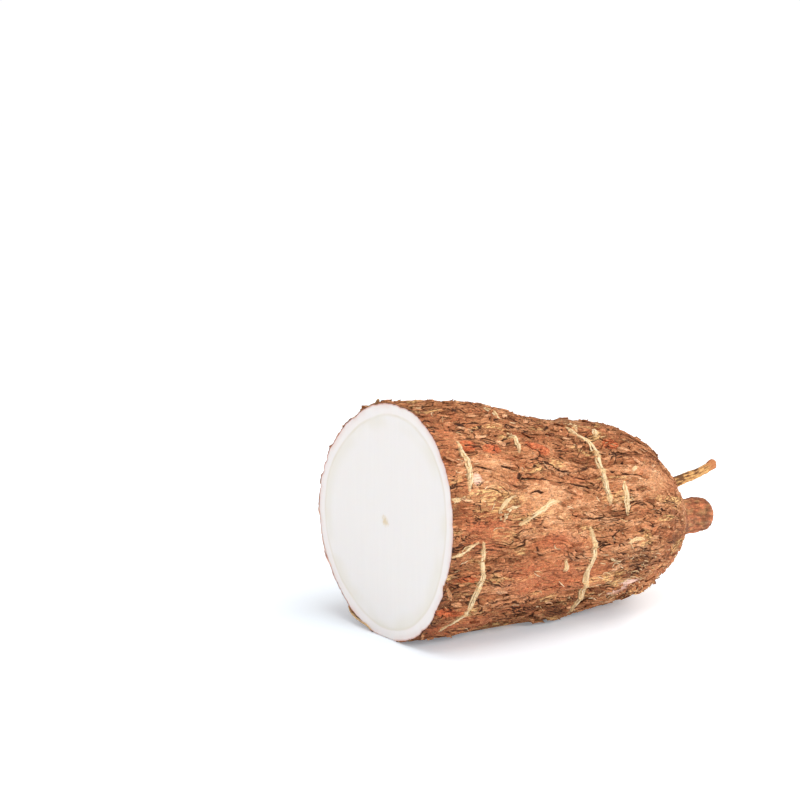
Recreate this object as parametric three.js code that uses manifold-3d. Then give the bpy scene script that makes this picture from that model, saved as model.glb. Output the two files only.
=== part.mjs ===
// A length of cassava root, cut square across its thick end and tapering to the root's own broken tail.
// One solid, in millimetres, +Z up, lying on its underside. +X runs along the root from the cut to the tail.
// The origin is at the bottom centre of the box that the piece fills.
import * as THREE from "three";
import { mergeVertices } from "three/addons/utils/BufferGeometryUtils.js";
import Module from "manifold-3d";

// The root as measured: distance from the cut, radius there, and height of the centre above the table.
const LENGTH = 133;
const PROFILE = [
  [0, 37.4, 37.0],
  [15, 37.1, 36.3],
  [30, 36.2, 35.1],
  [45, 34.2, 33.0],
  [60, 32.2, 30.9],
  [75, 31.1, 30.2],
  [88, 29.0, 29.4],
  [98, 24.8, 27.8],
  [106, 19.2, 26.0],
  [111.5, 13.7, 24.5],
  [115.5, 9.4, 23.7],
  [119, 6.9, 23.4],
  [123, 5.9, 23.5],
  [128.4, 5.9, 23.6],
  [131.7, 5.2, 23.6],
  [LENGTH, 3.9, 23.6],
];
const AXIS_Y = -0.9; // the centre line's place across the box
// The section is a little out of round: a lean to one side, and three soft corners.
const SECTION_LEAN = -0.038;
const SECTION_CORNERS = 0.029;
const SECTION_CORNERS_TURN = 0.0067;

// The bark: plates and grooves that run along the root, with their sizes across and along it.
const PATTERN_RADIUS = 36;
const WANDER = { across: 17, along: 34, turn: 0.3 };
const PLATES = { across: 5.5, along: 15, height: 2.0, steps: 3, riser: 0.3 };
const GROOVES = { across: 5, along: 18, depth: 1.0, width: 0.25 };
const GRAIN = { across: 3.8, along: 9, height: 1.0 };
const BARK_LIFT = 0.35; // the grooves only cut in, so the whole bark stands out by this to keep its mean
const RIM_FADE = 3; // the bark lies flatter over this length next to the knife's cut
const RIM_SHARE = 0.5;
const UNDERSIDE_FADE = 2; // and where it is pressed against the table, up to this height

// Corky scars: raised bars round the root, each from one [distance, angle] through a middle to another.
// Angles are in degrees round the root: 0 at +Y, 90 on top, 180 at -Y.
const SCARS = [
  { from: [12, 182], mid: [13.4, 205], to: [6.6, 238], width: 2.6 },
  { from: [56.5, 174], mid: [58.4, 206], to: [59.6, 242], width: 2.8 },
  { from: [60.5, 110], mid: [65.6, 134], to: [65.3, 164], width: 3.0 },
  { from: [72.2, 150], mid: [72.1, 160], to: [72.8, 171], width: 2.4 },
  { from: [7.8, 133], mid: [8.4, 145], to: [6.4, 159], width: 2.2 },
  { from: [30.2, 126], mid: [29.8, 133], to: [30.2, 141], width: 2.4 },
  { from: [29.8, 106], mid: [29.6, 112], to: [31.0, 119], width: 2.2 },
  { from: [66.0, 99], mid: [64.8, 107], to: [64.2, 115], width: 2.2 },
  { from: [47.2, 194], mid: [47.4, 199], to: [47.8, 205], width: 2.2 },
  { from: [71.6, 112], mid: [70.8, 116], to: [69.8, 120], width: 2.0 },
  { from: [43.5, 162], mid: [36, 164.5], to: [25, 174], width: 3.0, lengthwise: true },
  { from: [72.0, 186], mid: [75.2, 185], to: [78.6, 186], width: 2.8, lengthwise: true },
  { from: [22, 62], mid: [23.5, 42], to: [21, 16], width: 2.8 },
  { from: [46, 80], mid: [44.6, 66], to: [46.5, 54], width: 2.4 },
  { from: [54, 34], mid: [56.5, 8], to: [53, -18], width: 3.0 },
  { from: [79, 70], mid: [80.2, 52], to: [78, 30], width: 2.4 },
  { from: [36, -4], mid: [34.6, -18], to: [36.5, -32], width: 2.4 },
  { from: [12, -8], mid: [10.5, -22], to: [13, -40], width: 2.6 },
  { from: [74, -8], mid: [75.4, -26], to: [72, -48], width: 2.6 },
  { from: [87, 10], mid: [88, 0], to: [87, -12], width: 2.0 },
];
const SCAR_HEIGHT = 1.1;
const SCAR_TAPER = 3; // each bar fades out over this length at its ends
// Places where the skin has come away and left a shallow hollow: centre, half sizes, depth and slant.
const PEELED = [
  { at: [77.5, 222], half: [6.5, 2.2], slant: -0.35 },
  { at: [42, 24], half: [7, 2.6], slant: 0.2 },
  { at: [90, 80], half: [5, 2.2], slant: 0.3 },
];
const PEEL_DEPTH = 1.1;

// The mesh: points round the widest rings, and how far apart the rings are.
const AROUND = 116;
const LEAST_AROUND = 24;
const BODY_END = 92;
const TAIL_START = 118;
const RING_STEPS = { body: 2.3, shoulder: 2.6, tail: 3.1 };
const TAIL_ROUNDING = [130.6, 132.1, LENGTH];
const SCAR_REACH = { before: 7, after: 10 }; // how far from a bar the rings bend to follow it
const SCAR_SQUEEZE = 0.75; // and how much closer to it the two rings beside it come

// The thin side root on the shoulder, as points of its route, and its radius at each end.
const ROOTLET_ROUTE = [
  [104, -8, 33],
  [108.5, -9.6, 37.2],
  [113, -10.6, 39.2],
  [118, -11.4, 40.6],
  [122.0, -12.1, 42.2],
  [125.3, -12.4, 43.8],
];
const ROOTLET = { sides: 9, rings: 9, base: 2.1, tip: 1.4, ridge: 0.14 };

// Slips of torn skin that stand proud at the cut's edge: angle, reach, spread, and distance from the cut.
const SLIPS = [
  { angle: -31, reach: 3.2, spread: 9, start: 1.2 },
  { angle: -64, reach: 1.8, spread: 15, start: 0.9 },
  { angle: 52, reach: 1.6, spread: 8, start: 1.5 },
  { angle: 74, reach: 1.4, spread: 6, start: 1.1 },
  { angle: 203, reach: 1.4, spread: 7, start: 1.4 },
  { angle: 100, reach: 1.5, spread: 8, start: 1.8 },
];
const SLIP = { thickness: 0.8, width: 2.0, root: 2.2 };

const BARK_COLOUR = 0x9a5f3d;

const radians = (degrees) => (degrees * Math.PI) / 180;
const lerp = (a, b, t) => a + (b - a) * t;

function smoothstep(low, high, value) {
  const t = Math.min(Math.max((value - low) / (high - low), 0), 1);
  return t * t * (3 - 2 * t);
}

// A smooth curve through one column of the profile table.
function along(x, column) {
  const last = PROFILE.length - 1;
  const slope = (i) => {
    const rise = (a, b) => (PROFILE[b][column] - PROFILE[a][column]) / (PROFILE[b][0] - PROFILE[a][0]);
    if (i === 0) return rise(0, 1);
    if (i === last) return rise(last - 1, last);
    const before = PROFILE[i][0] - PROFILE[i - 1][0];
    const after = PROFILE[i + 1][0] - PROFILE[i][0];
    return (rise(i - 1, i) * after + rise(i, i + 1) * before) / (before + after);
  };
  let i = 0;
  while (i < last - 1 && x > PROFILE[i + 1][0]) i += 1;
  const h = PROFILE[i + 1][0] - PROFILE[i][0];
  const t = (x - PROFILE[i][0]) / h;
  const [a, b] = [PROFILE[i][column], PROFILE[i + 1][column]];
  return (
    (2 * t ** 3 - 3 * t ** 2 + 1) * a +
    (t ** 3 - 2 * t ** 2 + t) * h * slope(i) +
    (-2 * t ** 3 + 3 * t ** 2) * b +
    (t ** 3 - t ** 2) * h * slope(i + 1)
  );
}

// A fixed pseudo-random number from 0 to 1 for each point of a whole-number lattice.
function lattice(i, j, k) {
  const s = Math.sin(i * 127.1 + j * 311.7 + k * 74.7) * 43758.5453;
  return s - Math.floor(s);
}

// Smooth noise from 0 to 1: the lattice's numbers, blended between its points.
function noise(x, y, z) {
  const [i, j, k] = [Math.floor(x), Math.floor(y), Math.floor(z)];
  const [u, v, w] = [x - i, y - j, z - k].map((t) => t * t * (3 - 2 * t));
  const edge = (b, c) => lerp(lattice(i, j + b, k + c), lattice(i + 1, j + b, k + c), u);
  return lerp(lerp(edge(0, 0), edge(1, 0), v), lerp(edge(0, 1), edge(1, 1), v), w);
}

// Noise stretched along the root, read on a cylinder so that it meets itself round the back.
function barkNoise(x, angle, size, shift) {
  const across = PATTERN_RADIUS / size.across;
  return noise(x / size.along + shift, Math.cos(angle) * across + shift, Math.sin(angle) * across);
}

// Flat treads with steep risers, as flaked layers have.
function terraces(value, { steps, riser }) {
  const level = Math.floor(value * steps);
  return (level + smoothstep(riser, 1, value * steps - level)) / steps;
}

// Distance across the surface from a point to a scar's curve, and how far along the curve that is.
function nearestOnScar(scar, x, angle) {
  const [from, mid, to] = [scar.from, scar.mid, scar.to].map(
    ([px, degrees]) => new THREE.Vector2(px, radians(degrees) * PATTERN_RADIUS),
  );
  const turn = 2 * Math.PI * PATTERN_RADIUS;
  let s = angle * PATTERN_RADIUS;
  s += Math.round((mid.y - s) / turn) * turn;
  const point = new THREE.Vector2(x, s);
  const total = from.distanceTo(mid) + mid.distanceTo(to);
  let best = { distance: Infinity, end: 0 };
  for (const [a, b, before] of [
    [from, mid, 0],
    [mid, to, from.distanceTo(mid)],
  ]) {
    const run = b.clone().sub(a);
    const t = Math.min(Math.max(point.clone().sub(a).dot(run) / run.lengthSq(), 0), 1);
    const distance = a.clone().addScaledVector(run, t).distanceTo(point);
    const travelled = before + t * run.length();
    if (distance < best.distance) best = { distance, end: Math.min(travelled, total - travelled) };
  }
  return best;
}

// Height of the corky scars above the bark.
function scarRelief(x, angle) {
  let height = 0;
  for (const scar of SCARS) {
    const { distance, end } = nearestOnScar(scar, x, angle);
    const across = Math.max(1 - distance / (scar.width / 2), 0);
    const taper = lerp(0.35, 1, smoothstep(0, SCAR_TAPER, end));
    height = Math.max(height, SCAR_HEIGHT * Math.sqrt(across) * taper);
  }
  return height;
}

// Depth of the peeled places, as soft-edged slanted ovals.
function peelRelief(x, angle) {
  let depth = 0;
  for (const { at, half, slant } of PEELED) {
    const turn = Math.atan2(Math.sin(angle - radians(at[1])), Math.cos(angle - radians(at[1])));
    const dx = x - at[0];
    const ds = turn * along(at[0], 1) - slant * dx;
    depth = Math.max(depth, PEEL_DEPTH * (1 - smoothstep(0.7, 1.15, Math.hypot(dx / half[0], ds / half[1]))));
  }
  return depth;
}

// Height of the bark above the root's plain form, before scars.
function barkRelief(x, angle) {
  const bend = WANDER.turn * (barkNoise(x, angle, WANDER, 0) - 0.5);
  const turned = angle + bend;
  const plates = PLATES.height * (terraces(barkNoise(x, turned, PLATES, 11), PLATES) - 0.5);
  const seam = Math.abs(barkNoise(x, turned, GROOVES, 23) - 0.5);
  const groove = GROOVES.depth * (1 - smoothstep(0, GROOVES.width, seam));
  const grain = GRAIN.height * (barkNoise(x, turned, GRAIN, 37) - 0.5);
  return plates - groove + grain + BARK_LIFT;
}

// A point of the root's surface, in the piece's own frame.
function surfacePoint(x, angle) {
  const radius = along(x, 1);
  const fade = 1 - (x / LENGTH) ** 2;
  const section =
    SECTION_LEAN * Math.sin(2 * angle) +
    SECTION_CORNERS * Math.cos(3 * angle) +
    SECTION_CORNERS_TURN * Math.sin(3 * angle);
  const plain = radius * (1 + fade * section);
  const centre = along(x, 2);
  const lift = smoothstep(0, UNDERSIDE_FADE, centre + plain * Math.sin(angle));
  const rim = lerp(RIM_SHARE, 1, smoothstep(0, RIM_FADE, x));
  const size = Math.min(radius / PROFILE[5][1], 1);
  const peeled = peelRelief(x, angle);
  const covered = 1 - peeled / PEEL_DEPTH;
  const bark = (barkRelief(x, angle) * size + scarRelief(x, angle)) * rim * covered;
  const r = plain + (bark - peeled) * lift;
  return new THREE.Vector3(
    x - LENGTH / 2,
    AXIS_Y + r * Math.cos(angle),
    Math.max(centre + r * Math.sin(angle), 0),
  );
}

// How far a bar's crest lies from the ring that follows it, and how far that ring lies from this place.
function scarPull(scar, x, angle) {
  const degrees = (angle * 180) / Math.PI;
  const near = degrees + 360 * Math.round((scar.mid[1] - degrees) / 360);
  const [first, last] = [scar.from, scar.to].sort((a, b) => a[1] - b[1]);
  if (near < first[1] - 1 || near > last[1] + 1) return { away: Infinity, shift: 0 };
  const [low, high] = near < scar.mid[1] ? [first, scar.mid] : [scar.mid, last];
  const crest = lerp(low[0], high[0], (near - low[1]) / (high[1] - low[1]));
  const home = RING_STEPS.body * Math.round(scar.mid[0] / RING_STEPS.body);
  return { away: x - home, shift: crest - home, home };
}

// Where a ring lies at one angle: it bends to run along the nearest bar that crosses its path there.
function ringPlace(x, angle) {
  const pulls = SCARS.filter((scar) => !scar.lengthwise).map((scar) => scarPull(scar, x, angle));
  const { away, shift, home } = pulls.reduce((a, b) => (Math.abs(b.away) < Math.abs(a.away) ? b : a));
  const before = Math.min(Math.max(SCAR_REACH.before, 1.6 * Math.abs(shift)), home);
  const reach = away < 0 ? before : SCAR_REACH.after;
  if (x === 0 || Math.abs(away) >= reach) return x;
  const beside = Math.abs(Math.abs(away) - RING_STEPS.body) < 0.1 ? SCAR_SQUEEZE : 0;
  return x + shift * (1 - Math.abs(away) / reach) - beside * Math.sign(away);
}

// Each ring's distance from the cut and the number of its points, which falls as the root thins.
function ringPlan() {
  const plan = [];
  for (let i = 0; i * RING_STEPS.body <= BODY_END; i += 1) plan.push([i * RING_STEPS.body, AROUND]);
  const counted = (x) => Math.max(2 * Math.round((AROUND * along(x, 1)) / PROFILE[6][1] / 2), LEAST_AROUND);
  const shoulder = Math.round((TAIL_START - BODY_END) / RING_STEPS.shoulder);
  for (let i = 1; i <= shoulder; i += 1) {
    const x = lerp(BODY_END, TAIL_START, i / shoulder);
    plan.push([x, Math.min(counted(x), AROUND)]);
  }
  for (let x = TAIL_START + RING_STEPS.tail; x < TAIL_ROUNDING[0]; x += RING_STEPS.tail) {
    plan.push([x, LEAST_AROUND]);
  }
  return plan.concat(TAIL_ROUNDING.map((x) => [x, LEAST_AROUND]));
}

// A closed solid from rings of points: neighbours are joined in step round the ring, and each end is a fan.
function loft(rings) {
  const position = rings.flat().flatMap((p) => p.toArray());
  const starts = rings.map((_, r) => rings.slice(0, r).reduce((sum, ring) => sum + ring.length, 0));
  const index = [];
  for (let r = 0; r + 1 < rings.length; r += 1) {
    const [m, n] = [rings[r].length, rings[r + 1].length];
    const near = (i) => starts[r] + (i % m);
    const far = (j) => starts[r + 1] + (j % n);
    for (let i = 0, j = 0; i < m || j < n; ) {
      if (j >= n || (i < m && (i + 1) / m <= (j + 1) / n)) {
        index.push(near(i), near(i + 1), far(j));
        i += 1;
      } else {
        index.push(near(i), far(j + 1), far(j));
        j += 1;
      }
    }
  }
  for (const r of [0, rings.length - 1]) {
    const middle = rings[r].reduce((sum, p) => sum.add(p), new THREE.Vector3()).divideScalar(rings[r].length);
    const centre = position.length / 3;
    position.push(...middle.toArray());
    for (let i = 0; i < rings[r].length; i += 1) {
      const [a, b] = [starts[r] + i, starts[r] + ((i + 1) % rings[r].length)];
      index.push(...(r === 0 ? [centre, b, a] : [centre, a, b]));
    }
  }
  const geometry = new THREE.BufferGeometry();
  geometry.setAttribute("position", new THREE.Float32BufferAttribute(position, 3));
  geometry.setIndex(index);
  return geometry;
}

// The root itself, from the cut to the tail.
function rootSkin() {
  return loft(
    ringPlan().map(([x, count]) =>
      Array.from({ length: count }, (_, i) => {
        const angle = (2 * Math.PI * i) / count - Math.PI / 2;
        return surfacePoint(ringPlace(x, angle), angle);
      }),
    ),
  );
}

// The side root: a ridged, tapering tube along its route, broken off square.
function rootlet() {
  const points = ROOTLET_ROUTE.map(([x, y, z]) => new THREE.Vector3(x - LENGTH / 2, y, z));
  const route = new THREE.CatmullRomCurve3(points);
  const frames = route.computeFrenetFrames(ROOTLET.rings - 1, false);
  return loft(
    Array.from({ length: ROOTLET.rings }, (_, r) => {
      const t = r / (ROOTLET.rings - 1);
      const middle = route.getPointAt(t);
      return Array.from({ length: ROOTLET.sides }, (_, i) => {
        const angle = (2 * Math.PI * i) / ROOTLET.sides;
        const ridged = 1 + ROOTLET.ridge * Math.cos(3 * angle + 4 * t);
        const radius = lerp(ROOTLET.base, ROOTLET.tip, Math.sqrt(t)) * ridged;
        return middle
          .clone()
          .addScaledVector(frames.normals[r], radius * Math.cos(angle))
          .addScaledVector(frames.binormals[r], radius * Math.sin(angle));
      });
    }),
  );
}

// A slip of torn skin: a thin blade that starts under the bark and lifts away from the cut's edge.
function slip({ angle, reach, spread, start }) {
  const rings = [];
  for (const t of [0, 0.35, 0.7, 1]) {
    const at = radians(angle + spread * t);
    const [wide, thick] = [(SLIP.width / 2) * (1 - 0.6 * t), (SLIP.thickness / 2) * (1 - 0.25 * t)];
    const out = new THREE.Vector3(0, Math.cos(at), Math.sin(at));
    const skin = surfacePoint(start + SLIP.width / 2, at);
    const middle = skin.addScaledVector(out, reach * t * t - SLIP.root * (1 - t));
    middle.z = Math.max(middle.z, SLIP.thickness);
    rings.push(
      [
        [-wide, -thick],
        [-wide, thick],
        [wide, thick],
        [wide, -thick],
      ].map(([dx, dr]) => middle.clone().addScaledVector(out, dr).add(new THREE.Vector3(dx, 0, 0))),
    );
  }
  return loft(rings);
}

const wasm = await Module();
wasm.setup();

// A geometry as a manifold-3d solid, turned so that its faces point out.
function solid(geometry) {
  const merged = mergeVertices(geometry, 1e-4);
  const triVerts = new Uint32Array(merged.index.array);
  const vertProperties = merged.attributes.position.array;
  const make = () => new wasm.Manifold(new wasm.Mesh({ numProp: 3, vertProperties, triVerts }));
  const made = make();
  if (made.volume() > 0) return made;
  for (let i = 0; i < triVerts.length; i += 3) {
    [triVerts[i + 1], triVerts[i + 2]] = [triVerts[i + 2], triVerts[i + 1]];
  }
  return make();
}

// A manifold-3d solid as a geometry for a mesh.
function geometryOf(made) {
  const { numProp, vertProperties, triVerts } = made.getMesh();
  const geometry = new THREE.BufferGeometry();
  const points = Array.from({ length: vertProperties.length / numProp }, (_, i) =>
    Array.from(vertProperties.subarray(i * numProp, i * numProp + 3)),
  );
  geometry.setAttribute("position", new THREE.Float32BufferAttribute(points.flat(), 3));
  geometry.setIndex(new THREE.BufferAttribute(triVerts, 1));
  geometry.computeVertexNormals();
  return geometry;
}

function cassavaRoot() {
  let whole = solid(rootSkin());
  for (const piece of [rootlet(), ...SLIPS.map(slip)]) whole = whole.add(solid(piece));
  const bark = new THREE.MeshStandardMaterial({ color: BARK_COLOUR, roughness: 0.85, metalness: 0 });
  const mesh = new THREE.Mesh(geometryOf(whole), bark);
  mesh.name = "cassava_root";
  return mesh;
}

const piece = new THREE.Group();
piece.add(cassavaRoot());

export default piece;
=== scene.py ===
"""The looks of a cut cassava root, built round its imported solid.

The root lies on its side with +X from the knife's cut to the broken tail and +Z up. Finished meshes are in
metres. Inside the shape formulas lengths are in millimetres: x is the distance from the cut, and an angle
runs round the root, 0 at +Y, a quarter turn on top and a half turn at -Y, the side that faces the camera.
"""

from __future__ import annotations

import logging
import math
from collections.abc import Callable, Sequence
from dataclasses import dataclass, field
from enum import Enum
from functools import partial

import bpy
import numpy as np
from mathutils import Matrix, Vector


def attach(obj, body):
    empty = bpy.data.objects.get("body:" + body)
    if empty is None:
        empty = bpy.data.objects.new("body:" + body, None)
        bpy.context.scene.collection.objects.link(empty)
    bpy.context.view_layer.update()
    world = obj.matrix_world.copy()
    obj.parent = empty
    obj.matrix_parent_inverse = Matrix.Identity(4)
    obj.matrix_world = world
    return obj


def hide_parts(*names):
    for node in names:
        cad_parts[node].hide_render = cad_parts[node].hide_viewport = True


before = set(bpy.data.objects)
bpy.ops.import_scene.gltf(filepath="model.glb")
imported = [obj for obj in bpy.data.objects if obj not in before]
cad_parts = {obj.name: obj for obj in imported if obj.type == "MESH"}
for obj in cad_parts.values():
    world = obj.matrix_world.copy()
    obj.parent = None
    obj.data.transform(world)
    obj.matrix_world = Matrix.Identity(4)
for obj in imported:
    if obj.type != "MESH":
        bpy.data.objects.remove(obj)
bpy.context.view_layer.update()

LOG = logging.getLogger("cassava")
Array = np.ndarray
Path2 = tuple[tuple[float, float], ...]
Colour = tuple[int, int, int]
Point3 = tuple[float, float, float]

MM = 0.001
BODY = "root"
NODE = "cassava_root"
FULL_TURN = 2 * math.pi
FAR_AWAY = 1e9
NEARLY_NOTHING = 1e-12
# The fixed random numbers: steps along the sine for one step of each whole number, and the sine's size.
LATTICE_STEPS = (127.1, 311.7, 74.7)
LATTICE_GAIN = 43758.5453
# Flakes and threads keep this far from the cut's plane, in millimetres.
CLEAR_OF_CUT = 0.3


class Slot(Enum):
    """The record's material slots."""

    BARK = "bark"
    FLESH = "flesh"
    CORK = "cork"


def srgb(colour: Colour) -> tuple[float, float, float, float]:
    """A colour as seen on a screen, 0 to 255, as the linear colour that shaders use."""

    def linear(value: int) -> float:
        """One channel: the screen's power curve, undone."""
        part = value / 255
        return part / 12.92 if part <= 0.04045 else ((part + 0.055) / 1.055) ** 2.4

    return (*map(linear, colour), 1.0)


def smoothstep(low: float | Array, high: float | Array, value: Array) -> Array:
    """An S-shaped ramp, 3t^2 - 2t^3, from 0 at low to 1 at high."""
    t = np.clip((value - low) / (high - low), 0, 1)
    return t * t * (3 - 2 * t)


def fixed_random(i: Array, j: Array, k: Array | float) -> Array:
    """A repeatable number from 0 to 1 for a whole-number point: the part after the point of a large sine."""
    step_i, step_j, step_k = LATTICE_STEPS
    wave = np.sin(i * step_i + j * step_j + k * step_k) * LATTICE_GAIN
    return wave - np.floor(wave)


def noise(x: Array, y: Array, z: Array | float) -> Array:
    """Smooth noise from 0 to 1: the fixed random numbers of a unit lattice, blended between its points."""
    i, j, k = np.floor(x), np.floor(y), np.floor(z)
    u, v, w = (t * t * (3 - 2 * t) for t in (x - i, y - j, z - k))

    def edge(b: int, c: int) -> Array:
        """The blend along one edge of the lattice's cell."""
        return fixed_random(i, j + b, k + c) * (1 - u) + fixed_random(i + 1, j + b, k + c) * u

    near = edge(0, 0) * (1 - v) + edge(1, 0) * v
    far = edge(0, 1) * (1 - v) + edge(1, 1) * v
    return near * (1 - w) + far * w


@dataclass(frozen=True)
class RootForm:
    """The root's form as measured, with the same numbers and relief as its solid."""

    length: float = 133.0
    # Distance from the cut, radius there, and height of the centre above the table.
    profile: tuple[Point3, ...] = (
        (0, 37.4, 37.0), (15, 37.1, 36.3), (30, 36.2, 35.1), (45, 34.2, 33.0), (60, 32.2, 30.9),
        (75, 31.1, 30.2), (88, 29.0, 29.4), (98, 24.8, 27.8), (106, 19.2, 26.0), (111.5, 13.7, 24.5),
        (115.5, 9.4, 23.7), (119, 6.9, 23.4), (123, 5.9, 23.5), (128.4, 5.9, 23.6), (131.7, 5.2, 23.6),
        (133, 3.9, 23.6),
    )
    axis_y: float = -0.9
    lean: float = -0.038
    corners: float = 0.029
    corners_turn: float = 0.0067
    pattern_radius: float = 36.0
    shoulder_radius: float = 31.1
    rim_fade: float = 3.0
    rim_share: float = 0.5
    walk_steps: int = 400
    # The solid's relief: levels of the plates, their height, the grooves' reach and what is added to all.
    levels: int = 3
    plate_height: float = 2.0
    groove_reach: float = 0.25
    raised: float = 0.35

    def along(self, x: Array, column: int) -> Array:
        """A smooth curve through one column of the profile: a cubic on each span, with weighted mean slopes.

        Args:
            x: distances from the cut.
            column: 1 for the radius, 2 for the centre's height.

        Returns:
            The curve's value at each distance.
        """
        table = np.array(self.profile, float)
        at, value = table[:, 0], table[:, column]
        gap = np.diff(at)
        rise = np.diff(value) / gap
        slope = np.empty(len(at))
        slope[1:-1] = (rise[:-1] * gap[1:] + rise[1:] * gap[:-1]) / (at[2:] - at[:-2])
        slope[0], slope[-1] = rise[0], rise[-1]
        x = np.clip(x, at[0], at[-1])
        i = np.clip(np.searchsorted(at, x, side="right") - 1, 0, len(at) - 2)
        h = gap[i]
        t = (x - at[i]) / h
        return (
            (2 * t**3 - 3 * t**2 + 1) * value[i]
            + (t**3 - 2 * t**2 + t) * h * slope[i]
            + (-2 * t**3 + 3 * t**2) * value[i + 1]
            + (t**3 - t**2) * h * slope[i + 1]
        )

    def radius_at(self, x: float) -> float:
        """The profile's radius at one distance from the cut."""
        return float(self.along(np.array(x), 1))

    def walk(self, x: Array) -> Array:
        """Distance from the cut as walked over the surface, which is longer than x where the root narrows."""
        steps = np.linspace(0, self.length, self.walk_steps)
        walked = np.hypot(np.diff(steps), np.diff(self.along(steps, 1)))
        return np.interp(x, steps, np.concatenate([[0], np.cumsum(walked)]))

    def crumble(self, x: Array, angle: Array, size: float, shift: float = 0.0) -> Array:
        """Noise of the same size every way, read at the points of the plain surface."""
        radius = self.plain_radius(x, angle)
        return noise(x / size + shift, radius * np.cos(angle) / size + shift, radius * np.sin(angle) / size)

    def grain(self, x: Array, angle: Array, across: float, along: float, shift: float = 0.0) -> Array:
        """Noise stretched along the root and read on a cylinder, so that it meets itself round the back.

        Args:
            x: distances from the cut.
            angle: angles round the root.
            across: size of the pattern round the root.
            along: size of the pattern along the root.
            shift: which piece of the endless noise is read.

        Returns:
            Values from 0 to 1.
        """
        turns = self.pattern_radius / across
        return noise(x / along + shift, np.cos(angle) * turns + shift, np.sin(angle) * turns)

    def plain_radius(self, x: Array, angle: Array) -> Array:
        """The radius without bark: the profile times a section with a lean and three soft corners."""
        fade = 1 - (x / self.length) ** 2
        section = (
            self.lean * np.sin(2 * angle)
            + self.corners * np.cos(3 * angle)
            + self.corners_turn * np.sin(3 * angle)
        )
        return self.along(x, 1) * (1 + fade * section)

    def height(self, x: Array, angle: Array) -> Array:
        """How high the plain surface is above the table."""
        return self.along(x, 2) + self.plain_radius(x, angle) * np.sin(angle)

    def broad_relief(self, x: Array, angle: Array) -> Array:
        """Broad plates and grooves, as in the solid: stepped noise, less a groove where noise is 1/2."""
        turned = angle + 0.3 * (self.grain(x, angle, 17, 34) - 0.5)
        stepped = self.grain(x, turned, 5.5, 15, 11) * self.levels
        level = np.floor(stepped)
        plates = self.plate_height * ((level + smoothstep(0.3, 1, stepped - level)) / self.levels - 0.5)
        seam = np.abs(self.grain(x, turned, 5, 18, 23) - 0.5)
        groove = 1 - smoothstep(0, self.groove_reach, seam)
        grit = self.grain(x, turned, 3.8, 9, 37) - 0.5
        return plates - groove + grit + self.raised

    def bark_share(self, x: Array) -> Array:
        """How much of the relief shows: less on the thin tail, and less beside the knife's cut."""
        rim = self.rim_share + (1 - self.rim_share) * smoothstep(0, self.rim_fade, x)
        return np.minimum(self.along(x, 1) / self.shoulder_radius, 1) * rim

    def place(self, x: Array, angle: Array, radius: Array, bed: Array | float = 0.0) -> Array:
        """Points at given radii round the centre line, in metres.

        Args:
            x: distances from the cut.
            angle: angles round the root.
            radius: distances from the centre line.
            bed: least height above the table.

        Returns:
            An array of points, with one more axis than the inputs.
        """
        across = self.axis_y + radius * np.cos(angle)
        height = np.maximum(self.along(x, 2) + radius * np.sin(angle), bed)
        return np.stack(np.broadcast_arrays(x - self.length / 2, across, height), -1) * MM


@dataclass(frozen=True)
class Plates:
    """Flaked layers of bark: jittered cells stretched along the root, each with its own height and slant."""

    form: RootForm
    along: float
    across: float
    seed: float
    jitter: float = 0.92
    slant_across: float = 1.4

    def cells(self, x: Array, angle: Array) -> tuple[Array, Array, Array]:
        """Finds each point's nearest and second nearest cell centre, in units of the cell's size.

        Args:
            x: distances from the cut.
            angle: angles round the root.

        Returns:
            The cell's chance number from 0 to 1, the gap between the two distances, which is 0 on a border,
            and the slant from -1 to 1, which is the offset from the centre along the cell's own direction.
        """
        count = round(FULL_TURN * self.form.pattern_radius / self.across)
        u = x / self.along
        v = angle / FULL_TURN * count
        i, j = np.floor(u), np.floor(v)
        first = np.full(u.shape, FAR_AWAY)
        second = np.full(u.shape, FAR_AWAY)
        own = [np.zeros(u.shape) for _ in range(4)]
        for a in (-1, 0, 1):
            for b in (-1, 0, 1):
                column = i + a
                row = np.mod(j + b, count)
                du = u - column - 0.5 - self.jitter * (fixed_random(column, row, self.seed) - 0.5)
                dv = v - (j + b) - 0.5 - self.jitter * (fixed_random(column, row, self.seed + 1) - 0.5)
                distance = np.hypot(du, dv)
                nearer = distance < first
                second = np.where(nearer, first, np.minimum(second, distance))
                first = np.where(nearer, distance, first)
                own = [np.where(nearer, new, old) for new, old in zip((column, row, du, dv), own)]
        column, row, du, dv = own
        chance = fixed_random(column, row, self.seed + 2)
        heading = FULL_TURN * fixed_random(column, row, self.seed + 3)
        slant = np.clip(np.cos(heading) * du + np.sin(heading) * dv * self.slant_across, -1, 1)
        return chance, second - first, slant


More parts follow.
